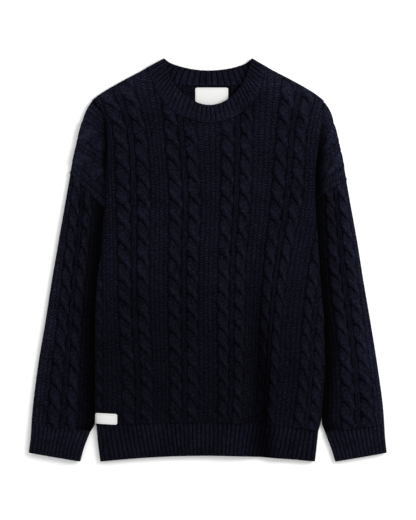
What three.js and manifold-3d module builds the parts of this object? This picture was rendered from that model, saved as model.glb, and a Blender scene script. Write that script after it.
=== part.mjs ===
// A cable knit sweater laid flat on a surface. Millimetres, +Z up, +Y towards the neck, +X to the viewer's
// right. The origin is on the surface, at the middle of the garment's outline.
import * as THREE from 'three';
import Module from 'manifold-3d';
import { mergeVertices } from 'three/addons/utils/BufferGeometryUtils.js';

// Cloth
const wallThickness = 3.2;
const backThickness = 4;
const seamGap = 0.3;
const chordAllowance = 0.25;
const loft = 3.8;
const foldHeight = 5.5;
const labelThickness = 0.8;

// Knitted relief over the plain cloth
const cableRise = 4.6;
const centreRibRise = 2.4;
const bandRibRise = 1.6;
const crossingPitch = 35;
const crossingStart = 22;
const bandRibDuty = 0.34;

// Rounding of the folded edges
const bodyEdgeRadius = 15;
const shoulderRadius = 20;
const tubeEdgeRadius = 13;
const valleyReach = 26;
const foldEdgeHeight = 4.6;

// Ribs that show on each band
const hemRibs = 51;
const cuffRibs = 14;
const collarFrontRibs = 36;
const collarBackRibs = 20;

const restLevel = backThickness + seamGap;
const plainTop = restLevel + loft + wallThickness;

// Side edges of the body panel, from the hem seam to the shoulder points
const bodyEdges = [
  { y: -300, left: -195.3, right: 192.2 },
  { y: -289, left: -196.5, right: 195.3 },
  { y: -265, left: -198.5, right: 199.5 },
  { y: -235, left: -198.5, right: 202.3 },
  { y: -177, left: -198.5, right: 205 },
  { y: -106, left: -198.5, right: 202 },
  { y: -55, left: -196, right: 197.5 },
  { y: 17, left: -188.8, right: 192 },
  { y: 104, left: -182.3, right: 188.5 },
  { y: 160, left: -181, right: 190 },
  { y: 223, left: -179.7, right: 198.8 },
  { y: 244, left: -182.7, right: 201.5 },
  { y: 258, left: -188, right: 202.5 },
  { y: 272, left: -196.7, right: 201.5 },
  { y: 282, left: -201, right: 199.5 },
];

// Where each pair of cables starts and ends across the body, at sections from the hem seam up
const waleLines = [
  { y: -292, farLeft: -186.5, left1: -151, left2: -98, midLeft1: -69, midLeft2: -18, midRight1: 15,
    midRight2: 57, right1: 81, right2: 115, farRight1: 146, farRight2: 193 },
  { y: -228, farLeft: -184.5, left1: -151, left2: -96, midLeft1: -68, midLeft2: -16.5, midRight1: 16.8,
    midRight2: 60.5, right1: 84, right2: 120, farRight1: 155, farRight2: 197 },
  { y: -91, farLeft: -184.5, left1: -157.5, left2: -102, midLeft1: -70.7, midLeft2: -17.3, midRight1: 15,
    midRight2: 64, right1: 91, right2: 129, farRight1: 165, farRight2: 205 },
  { y: 0, farLeft: -186, left1: -159, left2: -102.7, midLeft1: -70.7, midLeft2: -16.5, midRight1: 16.8,
    midRight2: 66, right1: 97.5, right2: 142, farRight1: 177, farRight2: 226 },
  { y: 104, farLeft: -188, left1: -161.7, left2: -100.5, midLeft1: -69, midLeft2: -13, midRight1: 20.3,
    midRight2: 74.5, right1: 107.8, right2: 163.8, farRight1: 195.3, farRight2: 250 },
  { y: 227, farLeft: -194, left1: -167, left2: -109.2, midLeft1: -77.7, midLeft2: -20, midRight1: 22,
    midRight2: 78, right1: 118.3, right2: 172.5, farRight1: 204, farRight2: 260 },
  { y: 306, farLeft: -230, left1: -202, left2: -130, midLeft1: -85, midLeft2: -28, midRight1: 22,
    midRight2: 78, right1: 127, right2: 192, farRight1: 225, farRight2: 280 },
];

// The hem seam, the shoulders and the front neckline, left to right
const hemSeam = [
  { x: -205, y: -290.5 },
  { x: -100, y: -286 },
  { x: 0, y: -284 },
  { x: 100, y: -289 },
  { x: 205, y: -300 },
];
const bodyTop = [
  { x: -201, y: 280.8 },
  { x: -188.8, y: 289.7 },
  { x: -178.3, y: 296.4 },
  { x: -147.7, y: 313.8 },
  { x: -113.5, y: 331.9 },
  { x: -107.5, y: 335.3 },
  { x: -99.4, y: 314.3 },
  { x: -88.2, y: 288.9 },
  { x: -72.8, y: 268.8 },
  { x: -57.2, y: 254.8 },
  { x: -25.9, y: 242 },
  { x: 5, y: 238.2 },
  { x: 36.6, y: 245.2 },
  { x: 52.1, y: 251.3 },
  { x: 67.5, y: 263.6 },
  { x: 80.3, y: 278.1 },
  { x: 95.5, y: 309.1 },
  { x: 104.3, y: 335.3 },
  { x: 110.5, y: 332 },
  { x: 145.4, y: 314 },
  { x: 176.9, y: 296.2 },
  { x: 187.4, y: 289.4 },
  { x: 199.5, y: 280 },
];
const neckCorner = { left: -107.5, right: 104.3 };
const necklineSpare = 12;

// Dropped shoulders: the knit runs from the outer edge down to the body's edge, seam first
const leftShoulder = [
  { outX: -241.5, outY: 148.5, inY: 86.5 },
  { outX: -238, outY: 170, inY: 122 },
  { outX: -231.9, outY: 197, inY: 159 },
  { outX: -228.6, outY: 212, inY: 178 },
  { outX: -219.5, outY: 244, inY: 213 },
  { outX: -204.5, outY: 276, inY: 252 },
];
const rightShoulder = [
  { outX: 241.4, outY: 137, inY: 104 },
  { outX: 237.7, outY: 160, inY: 132 },
  { outX: 231.8, outY: 189, inY: 164 },
  { outX: 228.4, outY: 204, inY: 181 },
  { outX: 219.2, outY: 238, inY: 214 },
  { outX: 203, outY: 275.3, inY: 252 },
];

// How far the outline rounds out over the uppermost band of each shoulder, and how much of that is upwards
const topBow = { left: 1.2, right: 2.5 };
const bowLift = 0.45;

// Sleeves from the armhole seam to the cuff seam, outer edge and inner edge, with the pair of cables as
// shares of the width from the outer edge
const leftSleeve = [
  { outX: -241.6, outY: 147.6, inX: -184.1, inY: 86, cable1: 0.08, cable2: 0.66 },
  { outX: -249, outY: 105, inX: -186.9, inY: 48, cable1: 0.13, cable2: 0.7 },
  { outX: -261.4, outY: 34, inX: -192.5, inY: -12, cable1: 0.18, cable2: 0.73 },
  { outX: -273.4, outY: -36, inX: -197.8, inY: -70, cable1: 0.22, cable2: 0.74 },
  { outX: -284.4, outY: -106, inX: -199.3, inY: -130, cable1: 0.24, cable2: 0.74 },
  { outX: -296.2, outY: -176, inX: -199.3, inY: -190, cable1: 0.25, cable2: 0.74 },
  { outX: -304.8, outY: -240, inX: -199.3, inY: -252, cable1: 0.25, cable2: 0.74 },
  { outX: -307.7, outY: -268, inX: -198.2, inY: -284, cable1: 0.25, cable2: 0.74 },
  { outX: -309.2, outY: -286, inX: -207, inY: -302, cable1: 0.25, cable2: 0.74 },
];
const rightSleeve = [
  { outX: 241.5, outY: 136.2, inX: 189.3, inY: 103.5, cable1: 0.06, cable2: 0.72 },
  { outX: 247.8, outY: 100, inX: 190.4, inY: 62, cable1: 0.08, cable2: 0.74 },
  { outX: 259.7, outY: 34, inX: 194, inY: -2, cable1: 0.11, cable2: 0.78 },
  { outX: 270.8, outY: -36, inX: 198.9, inY: -62, cable1: 0.13, cable2: 0.8 },
  { outX: 282.8, outY: -106, inX: 204.1, inY: -126, cable1: 0.15, cable2: 0.77 },
  { outX: 294.1, outY: -176, inX: 205.6, inY: -190, cable1: 0.16, cable2: 0.74 },
  { outX: 303.2, outY: -240, inX: 201.8, inY: -252, cable1: 0.16, cable2: 0.71 },
  { outX: 305.9, outY: -266, inX: 197.9, inY: -282, cable1: 0.16, cable2: 0.71 },
  { outX: 307.4, outY: -286.5, inX: 204.3, inY: -303, cable1: 0.16, cable2: 0.71 },
];

// Cuffs, from the sleeve seam to the open end
const leftCuff = [
  { outX: -309.2, outY: -286.3, inX: -207.1, inY: -302.3 },
  { outX: -310.8, outY: -312, inX: -217, inY: -328 },
  { outX: -313.9, outY: -337, inX: -223.8, inY: -352.5 },
];
const rightCuff = [
  { outX: 307.4, outY: -286.8, inX: 204.4, inY: -303.3 },
  { outX: 308.9, outY: -312, inX: 214.3, inY: -329 },
  { outX: 311.7, outY: -337, inX: 221.5, inY: -352.5 },
];

// Hem band from its seam to its lower edge
const hemSides = [
  { share: 0, left: -195.8, right: 192.2 },
  { share: 0.5, left: -192.8, right: 189.3 },
  { share: 1, left: -189, right: 186.2 },
];
const hemEdge = { side: -352.5, middle: -342.1, middleX: -1 };

// Collar, left to right: the seam and the top edge, in front and behind
const collarFront = [
  { seamX: -107.5, seamY: 335.7, topX: -77.7, topY: 351.9 },
  { seamX: -96.5, seamY: 308, topX: -70, topY: 329 },
  { seamX: -82.5, seamY: 280.5, topX: -62.5, topY: 311 },
  { seamX: -61, seamY: 257.5, topX: -46, topY: 291 },
  { seamX: -30, seamY: 243.5, topX: -21, topY: 274.5 },
  { seamX: 4, seamY: 238.6, topX: 3, topY: 269.5 },
  { seamX: 36, seamY: 245.4, topX: 27, topY: 275.5 },
  { seamX: 61, seamY: 258.3, topX: 48, topY: 291.5 },
  { seamX: 80.5, seamY: 279, topX: 62, topY: 310.5 },
  { seamX: 94.3, seamY: 307.5, topX: 69.5, topY: 329 },
  { seamX: 104.3, seamY: 335.7, topX: 76.3, topY: 351.9 },
];
const collarBack = [
  { seamX: -107.5, seamY: 335.7, topX: -77.7, topY: 351.9 },
  { seamX: -84, seamY: 317, topX: -66, topY: 343.5 },
  { seamX: -56.7, seamY: 308, topX: -45, topY: 336.5 },
  { seamX: -28, seamY: 305.5, topX: -22, topY: 332 },
  { seamX: 0, seamY: 304.7, topX: 0, topY: 330.6 },
  { seamX: 28, seamY: 305.2, topX: 22, topY: 331.8 },
  { seamX: 55.3, seamY: 307.5, topX: 44, topY: 335.5 },
  { seamX: 82, seamY: 317, topX: 64.5, topY: 342.5 },
  { seamX: 104.3, seamY: 335.7, topX: 76.3, topY: 351.9 },
];

const neckLabel = { left: -23, right: 34.5, top: 300.5, bottom: 262 };
const hemLabel = { left: -196.4, right: -159, top: -267.4, bottom: -286, slope: -0.05 };

// The drape fold at the lower right: where its trough runs, how far down it has grown and its two slopes
const foldLine = [
  { y: -350, x: 94, share: 1 },
  { y: -228, x: 91, share: 1 },
  { y: -140, x: 88.5, share: 0.8 },
  { y: -40, x: 85, share: 0.4 },
  { y: 52, x: 83, share: 0 },
];
const foldSlopes = { left: 44, right: 25 };
const foldRidge = { share: 0.75, at: 1.15, spread: 0.35 };
const foldTrough = { spread: 0.3, floor: 0.3 };

const knitColour = 0x14151f;
const labelColour = 0xe6e5e3;

const wasm = await Module();
wasm.setup();

// Smooth reading of one column of a table at a value of its key column
function reading(table, key, column, at) {
  const rising = table[table.length - 1][key] > table[0][key];
  const rows = rising ? table : [...table].reverse();
  if (at <= rows[0][key]) return rows[0][column];
  const last = rows.length - 1;
  if (at >= rows[last][key]) return rows[last][column];
  let i = 0;
  while (rows[i + 1][key] < at) i += 1;
  const slope = (a, b) => (rows[b][column] - rows[a][column]) / (rows[b][key] - rows[a][key]);
  const here = slope(i, i + 1);
  const limit = (s) => (s * here <= 0 ? 0 : Math.sign(s) * Math.min(Math.abs(s), 3 * Math.abs(here)));
  const startSlope = limit(i > 0 ? (slope(i - 1, i) + here) / 2 : here);
  const endSlope = limit(i + 1 < last ? (here + slope(i + 1, i + 2)) / 2 : here);
  const width = rows[i + 1][key] - rows[i][key];
  const t = (at - rows[i][key]) / width;
  const a = rows[i][column];
  const b = rows[i + 1][column];
  return a + (b - a) * t * t * (3 - 2 * t)
    + width * t * (1 - t) * ((1 - t) * startSlope - t * endSlope);
}

// The same, with the rows evenly spaced from 0 to 1
function reach(table, column, share) {
  const spaced = table.map((row, i) => ({ at: i / (table.length - 1), value: row[column] }));
  return reading(spaced, 'at', 'value', share);
}

const mix = (a, b, t) => a + (b - a) * t;
const clamp01 = (t) => Math.min(Math.max(t, 0), 1);
const smooth = (t) => clamp01(t) ** 2 * (3 - 2 * clamp01(t));

// Quarter round: 0 at an edge, 1 from one radius inwards
function rounded(distance, radius) {
  const t = clamp01(distance / radius);
  return Math.sqrt(1 - (1 - t) ** 2);
}

// Height of a two strand cable at a share across it and a distance along it, from 0 to 1
function cable(share, along) {
  const turn = (Math.PI * along) / crossingPitch;
  const across = 2 * share - 1;
  let height = 0;
  for (const side of [0, Math.PI]) {
    const offset = (across - 0.5 * Math.sin(turn + side)) / 0.56;
    if (Math.abs(offset) < 1) {
      height = Math.max(height, 0.66 * Math.sqrt(1 - offset ** 2) + 0.34 * Math.cos(turn + side));
    }
  }
  return height;
}

// A pair of cables with a fine rib between them, at a share across the pair
const pair = { firstEnd: 0.44, secondStart: 0.59 };
function cablePair(share, along) {
  if (share <= 0 || share >= 1) return 0;
  if (share < pair.firstEnd) return cableRise * cable(share / pair.firstEnd, along);
  if (share > pair.secondStart) {
    return cableRise * cable((share - pair.secondStart) / (1 - pair.secondStart), along);
  }
  const t = (share - pair.firstEnd) / (pair.secondStart - pair.firstEnd);
  return centreRibRise * Math.sin(Math.PI * t);
}
const pairShares = [0, 0.11, 0.22, 0.33, 0.44, 0.515, 0.59, 0.69, 0.795, 0.9, 1];

// Ends of a pair at one section, from two guides, as the share across that pair
const shareBetween = (value, start, end) => (value - start) / (end - start);

function foldRise(x, y) {
  const grown = reading(foldLine, 'y', 'share', y);
  const offset = x - reading(foldLine, 'y', 'x', y);
  const width = offset < 0 ? foldSlopes.left : foldSlopes.right;
  const t = Math.abs(offset) / width;
  const ridge = Math.exp(-((t - foldRidge.at) ** 2) / foldRidge.spread);
  const trough = Math.exp(-(t ** 2) / foldTrough.spread);
  return grown * (foldHeight * foldRidge.share * ridge - (loft - foldTrough.floor) * trough);
}

// Plain outer surface of the front, with its edges drawn in by inset and its top lowered by it
function bodyHeight(x, y, inset) {
  const left = x - reading(bodyEdges, 'y', 'left', y) - inset;
  const right = reading(bodyEdges, 'y', 'right', y) - x - inset;
  let edge = rounded(left, bodyEdgeRadius) * rounded(right, bodyEdgeRadius);
  if (x < neckCorner.left || x > neckCorner.right) {
    const shoulder = (reading(bodyTop, 'x', 'y', x) - y) * 0.87 - inset;
    edge *= rounded(shoulder, shoulderRadius);
  } else {
    const corner = Math.min(x - neckCorner.left, neckCorner.right - x);
    edge *= rounded(Math.hypot(corner, Math.max(0, 335 - y)) + corner - inset, shoulderRadius);
  }
  const top = plainTop - inset + foldRise(x, y);
  return mix(restLevel, top, edge);
}

const pairsAcross = [
  ['left1', 'left2'],
  ['midLeft1', 'midLeft2'],
  ['midRight1', 'midRight2'],
  ['right1', 'right2'],
  ['farRight1', 'farRight2'],
];

function bodyRelief(x, y) {
  const along = crossingStart - y;
  const farLeft = reading(waleLines, 'y', 'farLeft', y);
  const farLeftShare = 1 - (farLeft - x) / 60;
  if (farLeftShare > pair.secondStart && farLeftShare < 1) return cablePair(farLeftShare, along);
  for (const [first, second] of pairsAcross) {
    const start = reading(waleLines, 'y', first, y);
    const end = reading(waleLines, 'y', second, y);
    if (x > start && x < end) return cablePair(shareBetween(x, start, end), along);
  }
  return 0;
}

// The knit is pressed flat under the label at the hem
function pressed(x, y) {
  const besideX = Math.max(0, x - hemLabel.right) / 10;
  const aboveY = Math.max(0, y - hemLabel.top) / 14;
  return smooth(Math.hypot(besideX, aboveY));
}

// Column positions of the body at one height, edge to edge
const leftStrip = [0, 0.03, 0.11, 0.25, 0.46, 0.72];
const rightStrip = [0.14, 0.28, 0.42, 0.56, 0.7, 0.82, 0.91, 0.975, 1];
function bodyColumns(y) {
  const at = (name) => reading(waleLines, 'y', name, y);
  const left = reading(bodyEdges, 'y', 'left', y);
  const right = reading(bodyEdges, 'y', 'right', y);
  const columns = leftStrip.map((t) => mix(left, at('left1'), t));
  const pairs = pairsAcross.slice(0, 4);
  pairs.forEach(([first, second], i) => {
    pairShares.forEach((t) => columns.push(mix(at(first), at(second), t)));
    if (i < pairs.length - 1) columns.push(mix(at(second), at(pairs[i + 1][0]), 0.5));
  });
  const turn = Math.min(at('farRight1'), mix(at('right2'), right, 0.6));
  columns.push(mix(at('right2'), turn, 0.34), mix(at('right2'), turn, 0.67), turn);
  rightStrip.forEach((t) => columns.push(mix(turn, right, t)));
  return columns;
}

// A closed wall between a fine outer grid and a plain inner grid. The inner grid has one point for every
// rowStep rows and columnStep columns of the outer one. A ring closes on itself along its columns.
function wall(outer, inner, rowStep, columnStep, ring) {
  const points = [];
  const faces = [];
  const outerAt = outer.map((row) => row.map((p) => points.push(p) - 1));
  const innerAt = inner.map((row) => row.map((p) => points.push(p) - 1));
  const skin = (grid, flip) => {
    for (let i = 0; i + 1 < grid.length; i += 1) {
      const count = grid[i].length;
      for (let j = 0; j < (ring ? count : count - 1); j += 1) {
        const k = (j + 1) % count;
        const [a, b, c, d] = [grid[i][j], grid[i][k], grid[i + 1][k], grid[i + 1][j]];
        if (flip) faces.push([a, c, b], [a, d, c]);
        else faces.push([a, b, c], [a, c, d]);
      }
    }
  };
  const rim = (outerLine, innerLine, step, flip) => {
    const half = Math.floor(step / 2);
    const add = (a, b, c) => faces.push(flip ? [a, c, b] : [a, b, c]);
    for (let q = 0; q + 1 < innerLine.length; q += 1) {
      for (let j = 0; j < step; j += 1) {
        const near = j < half ? innerLine[q] : innerLine[q + 1];
        add(near, outerLine[q * step + j + 1], outerLine[q * step + j]);
      }
      add(innerLine[q], innerLine[q + 1], outerLine[q * step + half]);
    }
  };
  const closed = (line) => (ring ? [...line, line[0]] : line);
  const columnOf = (grid, j) => grid.map((row) => row[j]);
  skin(outerAt, false);
  skin(innerAt, true);
  rim(closed(outerAt[0]), closed(innerAt[0]), columnStep, false);
  rim(closed(outerAt.at(-1)), closed(innerAt.at(-1)), columnStep, true);
  if (!ring) {
    rim(columnOf(outerAt, 0), columnOf(innerAt, 0), rowStep, true);
    rim(columnOf(outerAt, outer[0].length - 1), columnOf(innerAt, inner[0].length - 1), rowStep, false);
  }
  return { points, faces };
}

function solidOf({ points, faces }) {
  const vertProperties = new Float32Array(points.flat());
  const triVerts = new Uint32Array(faces.flat());
  return new wasm.Manifold(new wasm.Mesh({ numProp: 3, vertProperties, triVerts }));
}

function geometryOf({ points, faces }) {
  const geometry = new THREE.BufferGeometry();
  geometry.setAttribute('position', new THREE.Float32BufferAttribute(points.flat(), 3));
  geometry.setIndex(faces.flat());
  geometry.computeVertexNormals();
  return geometry;
}

function geometryFromSolid(solid) {
  const mesh = solid.getMesh();
  const geometry = new THREE.BufferGeometry();
  geometry.setAttribute('position', new THREE.Float32BufferAttribute(mesh.vertProperties, 3));
  geometry.setIndex(Array.from(mesh.triVerts));
  geometry.computeVertexNormals();
  return geometry;
}

const every = (list, step) => list.filter((_, i) => i % step === 0);

// Front panel between its side edges, from the hem seam to the shoulders and the neckline
const bodyRows = 48;
function bodyPlan(inset) {
  const rows = [];
  for (let i = 0; i <= bodyRows; i += 1) {
    const share = i / bodyRows;
    const count = bodyColumns(0).length;
    const row = [];
    for (let j = 0; j < count; j += 1) {
      let y = mix(-290, 300, share);
      let x = 0;
      for (let pass = 0; pass < 12; pass += 1) {
        x = bodyColumns(y)[j];
        const intoNeck = Math.min(x - neckCorner.left, neckCorner.right - x);
        const spare = intoNeck < 0 ? -inset : necklineSpare * smooth(intoNeck / 8);
        const top = reading(bodyTop, 'x', 'y', x) + spare;
        y = mix(y, mix(reading(hemSeam, 'x', 'y', x) + seamGap + chordAllowance, top, share), 0.7);
      }
      const left = reading(bodyEdges, 'y', 'left', y) + inset;
      const right = reading(bodyEdges, 'y', 'right', y) - inset;
      row.push([Math.min(Math.max(x, left), right), y]);
    }
    rows.push(row);
  }
  return rows;
}

function bodyWall() {
  const rowStep = 6;
  const columnStep = 4;
  const outer = bodyPlan(0).map((row) => row.map(([x, y]) => {
    const base = bodyHeight(x, y, 0);
    const firm = smooth((base - restLevel) / 5);
    return [x, y, base + bodyRelief(x, y) * pressed(x, y) * firm];
  }));
  const inner = every(bodyPlan(wallThickness), rowStep)
    .map((row) => every(row, columnStep).map(([x, y]) => [x, y, bodyHeight(x, y, wallThickness)]));
  return wall(outer, inner, rowStep, columnStep, false);
}

// One dropped shoulder. Its rows follow the knit; its inner end runs into the body's side wall.
const strips = [
  { band: 0, shares: [0, 0.5] },
  { band: 1, shares: [0, 0.25, 0.5, 0.75] },
  { band: 2, shares: [0, 0.5] },
  { band: 3, shares: [0, 0.25, 0.5, 0.75] },
  { band: 4, shares: [0, 0.25, 0.5, 0.75, 1] },
];
const shoulderColumns = [0, 0.025, 0.09, 0.2, 0.34, 0.48, 0.61, 0.72, 0.82, 0.9, 0.96, 1];
function shoulderWall(table, side) {
  const edge = side < 0 ? 'left' : 'right';
  const lines = [];
  strips.forEach(({ band, shares }) => shares.forEach((share) => lines.push({ band, share })));
  const rowStep = 4;
  const height = (x, y, out, inwards, inset) => {
    const dip = mix(0.12, 1, smooth(inwards / valleyReach));
    const top = mix(restLevel + wallThickness + 0.4, plainTop, dip) - inset;
    return mix(restLevel, top, rounded(out - inset, bodyEdgeRadius));
  };
  const grid = (inset, raised) => lines.map(({ band, share }) => {
    const row = table[band];
    const next = table[band + 1];
    const bow = band === strips.length - 1 ? topBow[edge] * Math.sin(Math.PI * share) : 0;
    const from = [mix(row.outX, next.outX, share) + side * bow, mix(row.outY, next.outY, share) + bow * bowLift];
    const inY = mix(row.inY, next.inY, share);
    const inX = reading(bodyEdges, 'y', edge, inY) - side * (2 + inset * 0.25);
    const length = Math.hypot(inX - from[0], inY - from[1]);
    const start = inset / length;
    return shoulderColumns.map((t) => {
      const u = mix(start, 1, t);
      const x = mix(from[0], inX, u);
      const y = mix(from[1], inY, u);
      const plain = height(x, y, u * length, (1 - u) * length, inset);
      const isCable = band === 1 || band === 3;
      const rise = isCable ? cableRise * cable(side > 0 ? 1 - share : share, u * length) : 0;
      const rib = band === 2 ? centreRibRise * Math.sin(Math.PI * share) : 0;
      const firm = smooth((plain - restLevel) / 5) * smooth((1 - u) * length / 10);
      return [x, y, plain + (raised ? (rise + rib) * firm : 0)];
    });
  });
  let outer = grid(0, true);
  let inner = every(grid(wallThickness, false), rowStep);
  const turned = (rows) => rows.map((row) => [...row].reverse());
  if (side > 0) {
    outer = turned(outer);
    inner = turned(inner);
  }
  return wall(outer, inner, rowStep, 1, false);
}

// A flattened tube: front columns left to right, then back columns right to left. plan gives [x, y] at a
// row share and a column share on one side; height gives the plain top; relief gives the raised knit.
function flatTube({ rows, rowStep, frontColumns, backColumns, columnStep, plan, height, relief, backRelief }) {
  const stations = [
    ...frontColumns.slice(0, -1).map((t) => ({ t, front: true })),
    ...backColumns.slice(0, -1).map((t) => ({ t, front: false })),
  ];
  const ring = (v, inset) => {
    const leftEnd = plan(v, 0, true);
    const rightEnd = plan(v, 1, true);
    const width = Math.hypot(rightEnd[0] - leftEnd[0], rightEnd[1] - leftEnd[1]);
    const margin = inset / width;
    return stations.map(({ t, front }) => {
      const place = mix(margin, 1 - margin, t);
      const [x, y] = plan(v, place, front);
      const radius = tubeEdgeRadius - inset;
      const edge = rounded(t * (width - 2 * inset), radius) * rounded((1 - t) * (width - 2 * inset), radius);
      if (front) {
        const top = height(v, place) - inset;
        return [x, y, mix(foldEdgeHeight, top, edge) + (inset ? 0 : relief(v, t) * edge)];
      }
      const raised = inset && backRelief ? backRelief(v, t) * edge : 0;
      return [x, y, mix(foldEdgeHeight, inset ? backThickness - 0.4 : 0, edge) + raised];
    });
  };
  const outer = rows.map((v) => ring(v, 0));
  const inner = every(rows, rowStep).map((v) => every(ring(v, wallThickness), columnStep));
  return wall(outer, inner, rowStep, columnStep, true);
}

const steps = (count) => Array.from({ length: count + 1 }, (_, i) => i / count);
const ribColumns = (ribs) => {
  const columns = [];
  for (let i = 0; i < ribs; i += 1) columns.push(i / ribs, (i + bandRibDuty) / ribs, (i + 1 - bandRibDuty) / ribs);
  return [...columns, 1];
};

// Share of a rib's height at a share across a ribbed band
const ribbing = (ribs) => (v, t) => {
  const phase = (t * ribs) % 1;
  return bandRibRise * (phase > 0.1 && phase < 0.95 ? 1 : 0);
};

const sleeveRows = 42;
function sleeveWall(table, side) {
  const at = (v, column) => reach(table, column, v);
  const plan = (v, t) => {
    const share = side < 0 ? t : 1 - t;
    return [mix(at(v, 'outX'), at(v, 'inX'), share), mix(at(v, 'outY'), at(v, 'inY'), share)];
  };
  const outerShare = (t) => (side < 0 ? t : 1 - t);
  const height = (v, t) => plainTop - 0.8 - 2.6 * smooth((outerShare(t) - 0.45) / 0.5);
  const columnShares = [0, 0.1, 0.35];
  const innerShares = [0.2, 0.4, 0.6, 0.8];
  const first = 0.2;
  const second = 0.74;
  let across = [
    ...columnShares.map((t) => t * first),
    ...pairShares.map((t) => mix(first, second, t)),
    ...innerShares.map((t) => mix(second, 1, t)),
    1,
  ];
  const relief = (v, t) => {
    const [, y] = plan(v, t);
    return cablePair(shareBetween(outerShare(t), first, second), crossingStart - y);
  };
  const placed = (v, t) => {
    const share = outerShare(t);
    const from = at(v, 'cable1');
    const to = at(v, 'cable2');
    let moved = share;
    if (share <= first) moved = (share / first) * from;
    else if (share <= second) moved = mix(from, to, shareBetween(share, first, second));
    else moved = mix(to, 1, shareBetween(share, second, 1));
    return plan(v, side < 0 ? moved : 1 - moved);
  };
  if (side > 0) across = across.map((t) => 1 - t).reverse();
  return flatTube({
    rows: steps(sleeveRows).reverse(),
    rowStep: 6,
    frontColumns: across,
    backColumns: [1, 0.95, 0.8, 0.5, 0.2, 0.05, 0],
    columnStep: 3,
    plan: placed,
    height,
    relief,
  });
}

function cuffWall(table, side) {
  const at = (v, column) => reach(table, column, v);
  const plan = (v, t) => {
    const share = side < 0 ? t : 1 - t;
    return [mix(at(v, 'outX'), at(v, 'inX'), share), mix(at(v, 'outY'), at(v, 'inY'), share)];
  };
  return flatTube({
    rows: steps(2).reverse(),
    rowStep: 2,
    frontColumns: ribColumns(cuffRibs),
    backColumns: [1, 0.95, 0.8, 0.5, 0.2, 0.05, 0],
    columnStep: 6,
    plan,
    height: () => plainTop - 1.6,
    relief: ribbing(cuffRibs),
  });
}

function hemWall() {
  const plan = (v, t) => {
    const x = mix(reading(hemSides, 'share', 'left', v), reading(hemSides, 'share', 'right', v), t);
    const bow = ((x - hemEdge.middleX) / 187) ** 2;
    const low = mix(hemEdge.middle, hemEdge.side, Math.min(bow, 1));
    return [x, mix(reading(hemSeam, 'x', 'y', x), low, v)];
  };
  const height = (v, t) => {
    const [x, y] = plan(v, t);
    return plainTop - 1.4 + foldRise(x, y) * 0.8;
  };
  return flatTube({
    rows: steps(3).reverse(),
    rowStep: 3,
    frontColumns: ribColumns(hemRibs),
    backColumns: [1, 0.985, 0.95, 0.8, 0.6, 0.5, 0.2, 0.05, 0.015, 0],
    columnStep: 9,
    plan,
    height,
    relief: ribbing(hemRibs),
  });
}

function collarWall() {
  const plan = (v, t, front) => {
    const table = front ? collarFront : collarBack;
    const at = (column) => reach(table, column, t);
    return [mix(at('seamX'), at('topX'), v), mix(at('seamY'), at('topY'), v)];
  };
  const fine = (ribs) => steps(2 * ribs);
  const zigzag = (ribs) => (v, t) => bandRibRise * (Math.round(2 * ribs * t) % 2);
  return flatTube({
    rows: steps(2),
    rowStep: 1,
    frontColumns: fine(collarFrontRibs),
    backColumns: fine(collarBackRibs).reverse(),
    columnStep: 1,
    plan,
    height: () => plainTop - 0.6,
    relief: zigzag(collarFrontRibs),
    backRelief: zigzag(collarBackRibs),
  });
}

// The collar's seam in plan, moved out by the seam gap
function besideSeam(table, ribs) {
  const seam = steps(2 * ribs).map((t) => [reach(table, 'seamX', t), reach(table, 'seamY', t)]);
  return seam.map(([x, y], i) => {
    const [ax, ay] = seam[Math.max(i - 1, 0)];
    const [bx, by] = seam[Math.min(i + 1, seam.length - 1)];
    const length = Math.hypot(bx - ax, by - ay);
    return [x + ((by - ay) / length) * seamGap, y - ((bx - ax) / length) * seamGap];
  });
}

// The back lies flat: its outline follows the front's, and its neckline the back of the collar
function backGeometry() {
  const inset = 1.2;
  const side = (table, edge, sign) => {
    const outer = table.map(({ outX, outY }) => [outX - sign * inset, outY]);
    const heights = [-280, -235, -106, -55, 17, 60];
    const body = heights.map((y) => [reading(bodyEdges, 'y', edge, y) - sign * inset, y]);
    const corner = [reading(bodyEdges, 'y', edge, table[0].inY) - sign * inset, table[0].inY];
    return [...body, corner, ...outer];
  };
  const left = side(leftShoulder, 'left', -1);
  const right = side(rightShoulder, 'right', 1);
  const hemSide = { left: -194.3, right: 191 };
  const shoulder = (low, high) => bodyTop
    .filter(({ x }) => x > low && x < high)
    .map(({ x, y }) => [x, y - inset]);
  const tip = 3;
  const neck = besideSeam(collarBack, collarBackRibs).slice(tip, -tip);
  const hem = steps(14).map((t) => {
    const x = mix(hemSide.left, hemSide.right, t);
    return [x, reading(hemSeam, 'x', 'y', x) + seamGap + chordAllowance];
  });
  const outline = [
    ...left,
    ...shoulder(-195, -108),
    ...neck,
    ...shoulder(105, 190),
    ...right.reverse(),
    ...hem.reverse(),
  ];
  const shape = new THREE.Shape(outline.map(([x, y]) => new THREE.Vector2(x, y)));
  return new THREE.ExtrudeGeometry(shape, { depth: backThickness, bevelEnabled: false });
}

function patch(columns, rows, place) {
  const grid = (lift) => rows.map((v) => columns.map((t) => place(t, v, lift)));
  return wall(grid(labelThickness), grid(0), 1, 1, false);
}

function neckLabelWall() {
  const place = (t, v, lift) => [
    mix(neckLabel.left, neckLabel.right, t),
    mix(neckLabel.bottom, neckLabel.top, v),
    restLevel + lift,
  ];
  return patch(steps(4), steps(3), place);
}

function hemLabelWall() {
  const probe = 0.5;
  const place = (t, v, lift) => {
    const x = mix(hemLabel.left, hemLabel.right, t);
    const y = mix(hemLabel.bottom, hemLabel.top, v) + hemLabel.slope * (x - hemLabel.left);
    const z = bodyHeight(x, y, 0);
    const slopeX = (bodyHeight(x + probe, y, 0) - bodyHeight(x - probe, y, 0)) / (2 * probe);
    const length = Math.hypot(slopeX, 1);
    const out = seamGap + 0.15 + lift;
    return [x - (slopeX / length) * out, y, z + out / length];
  };
  return patch([0, 0.06, 0.14, 0.24, 0.36, 0.5, 0.65, 0.8, 1], steps(2), place);
}

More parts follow.
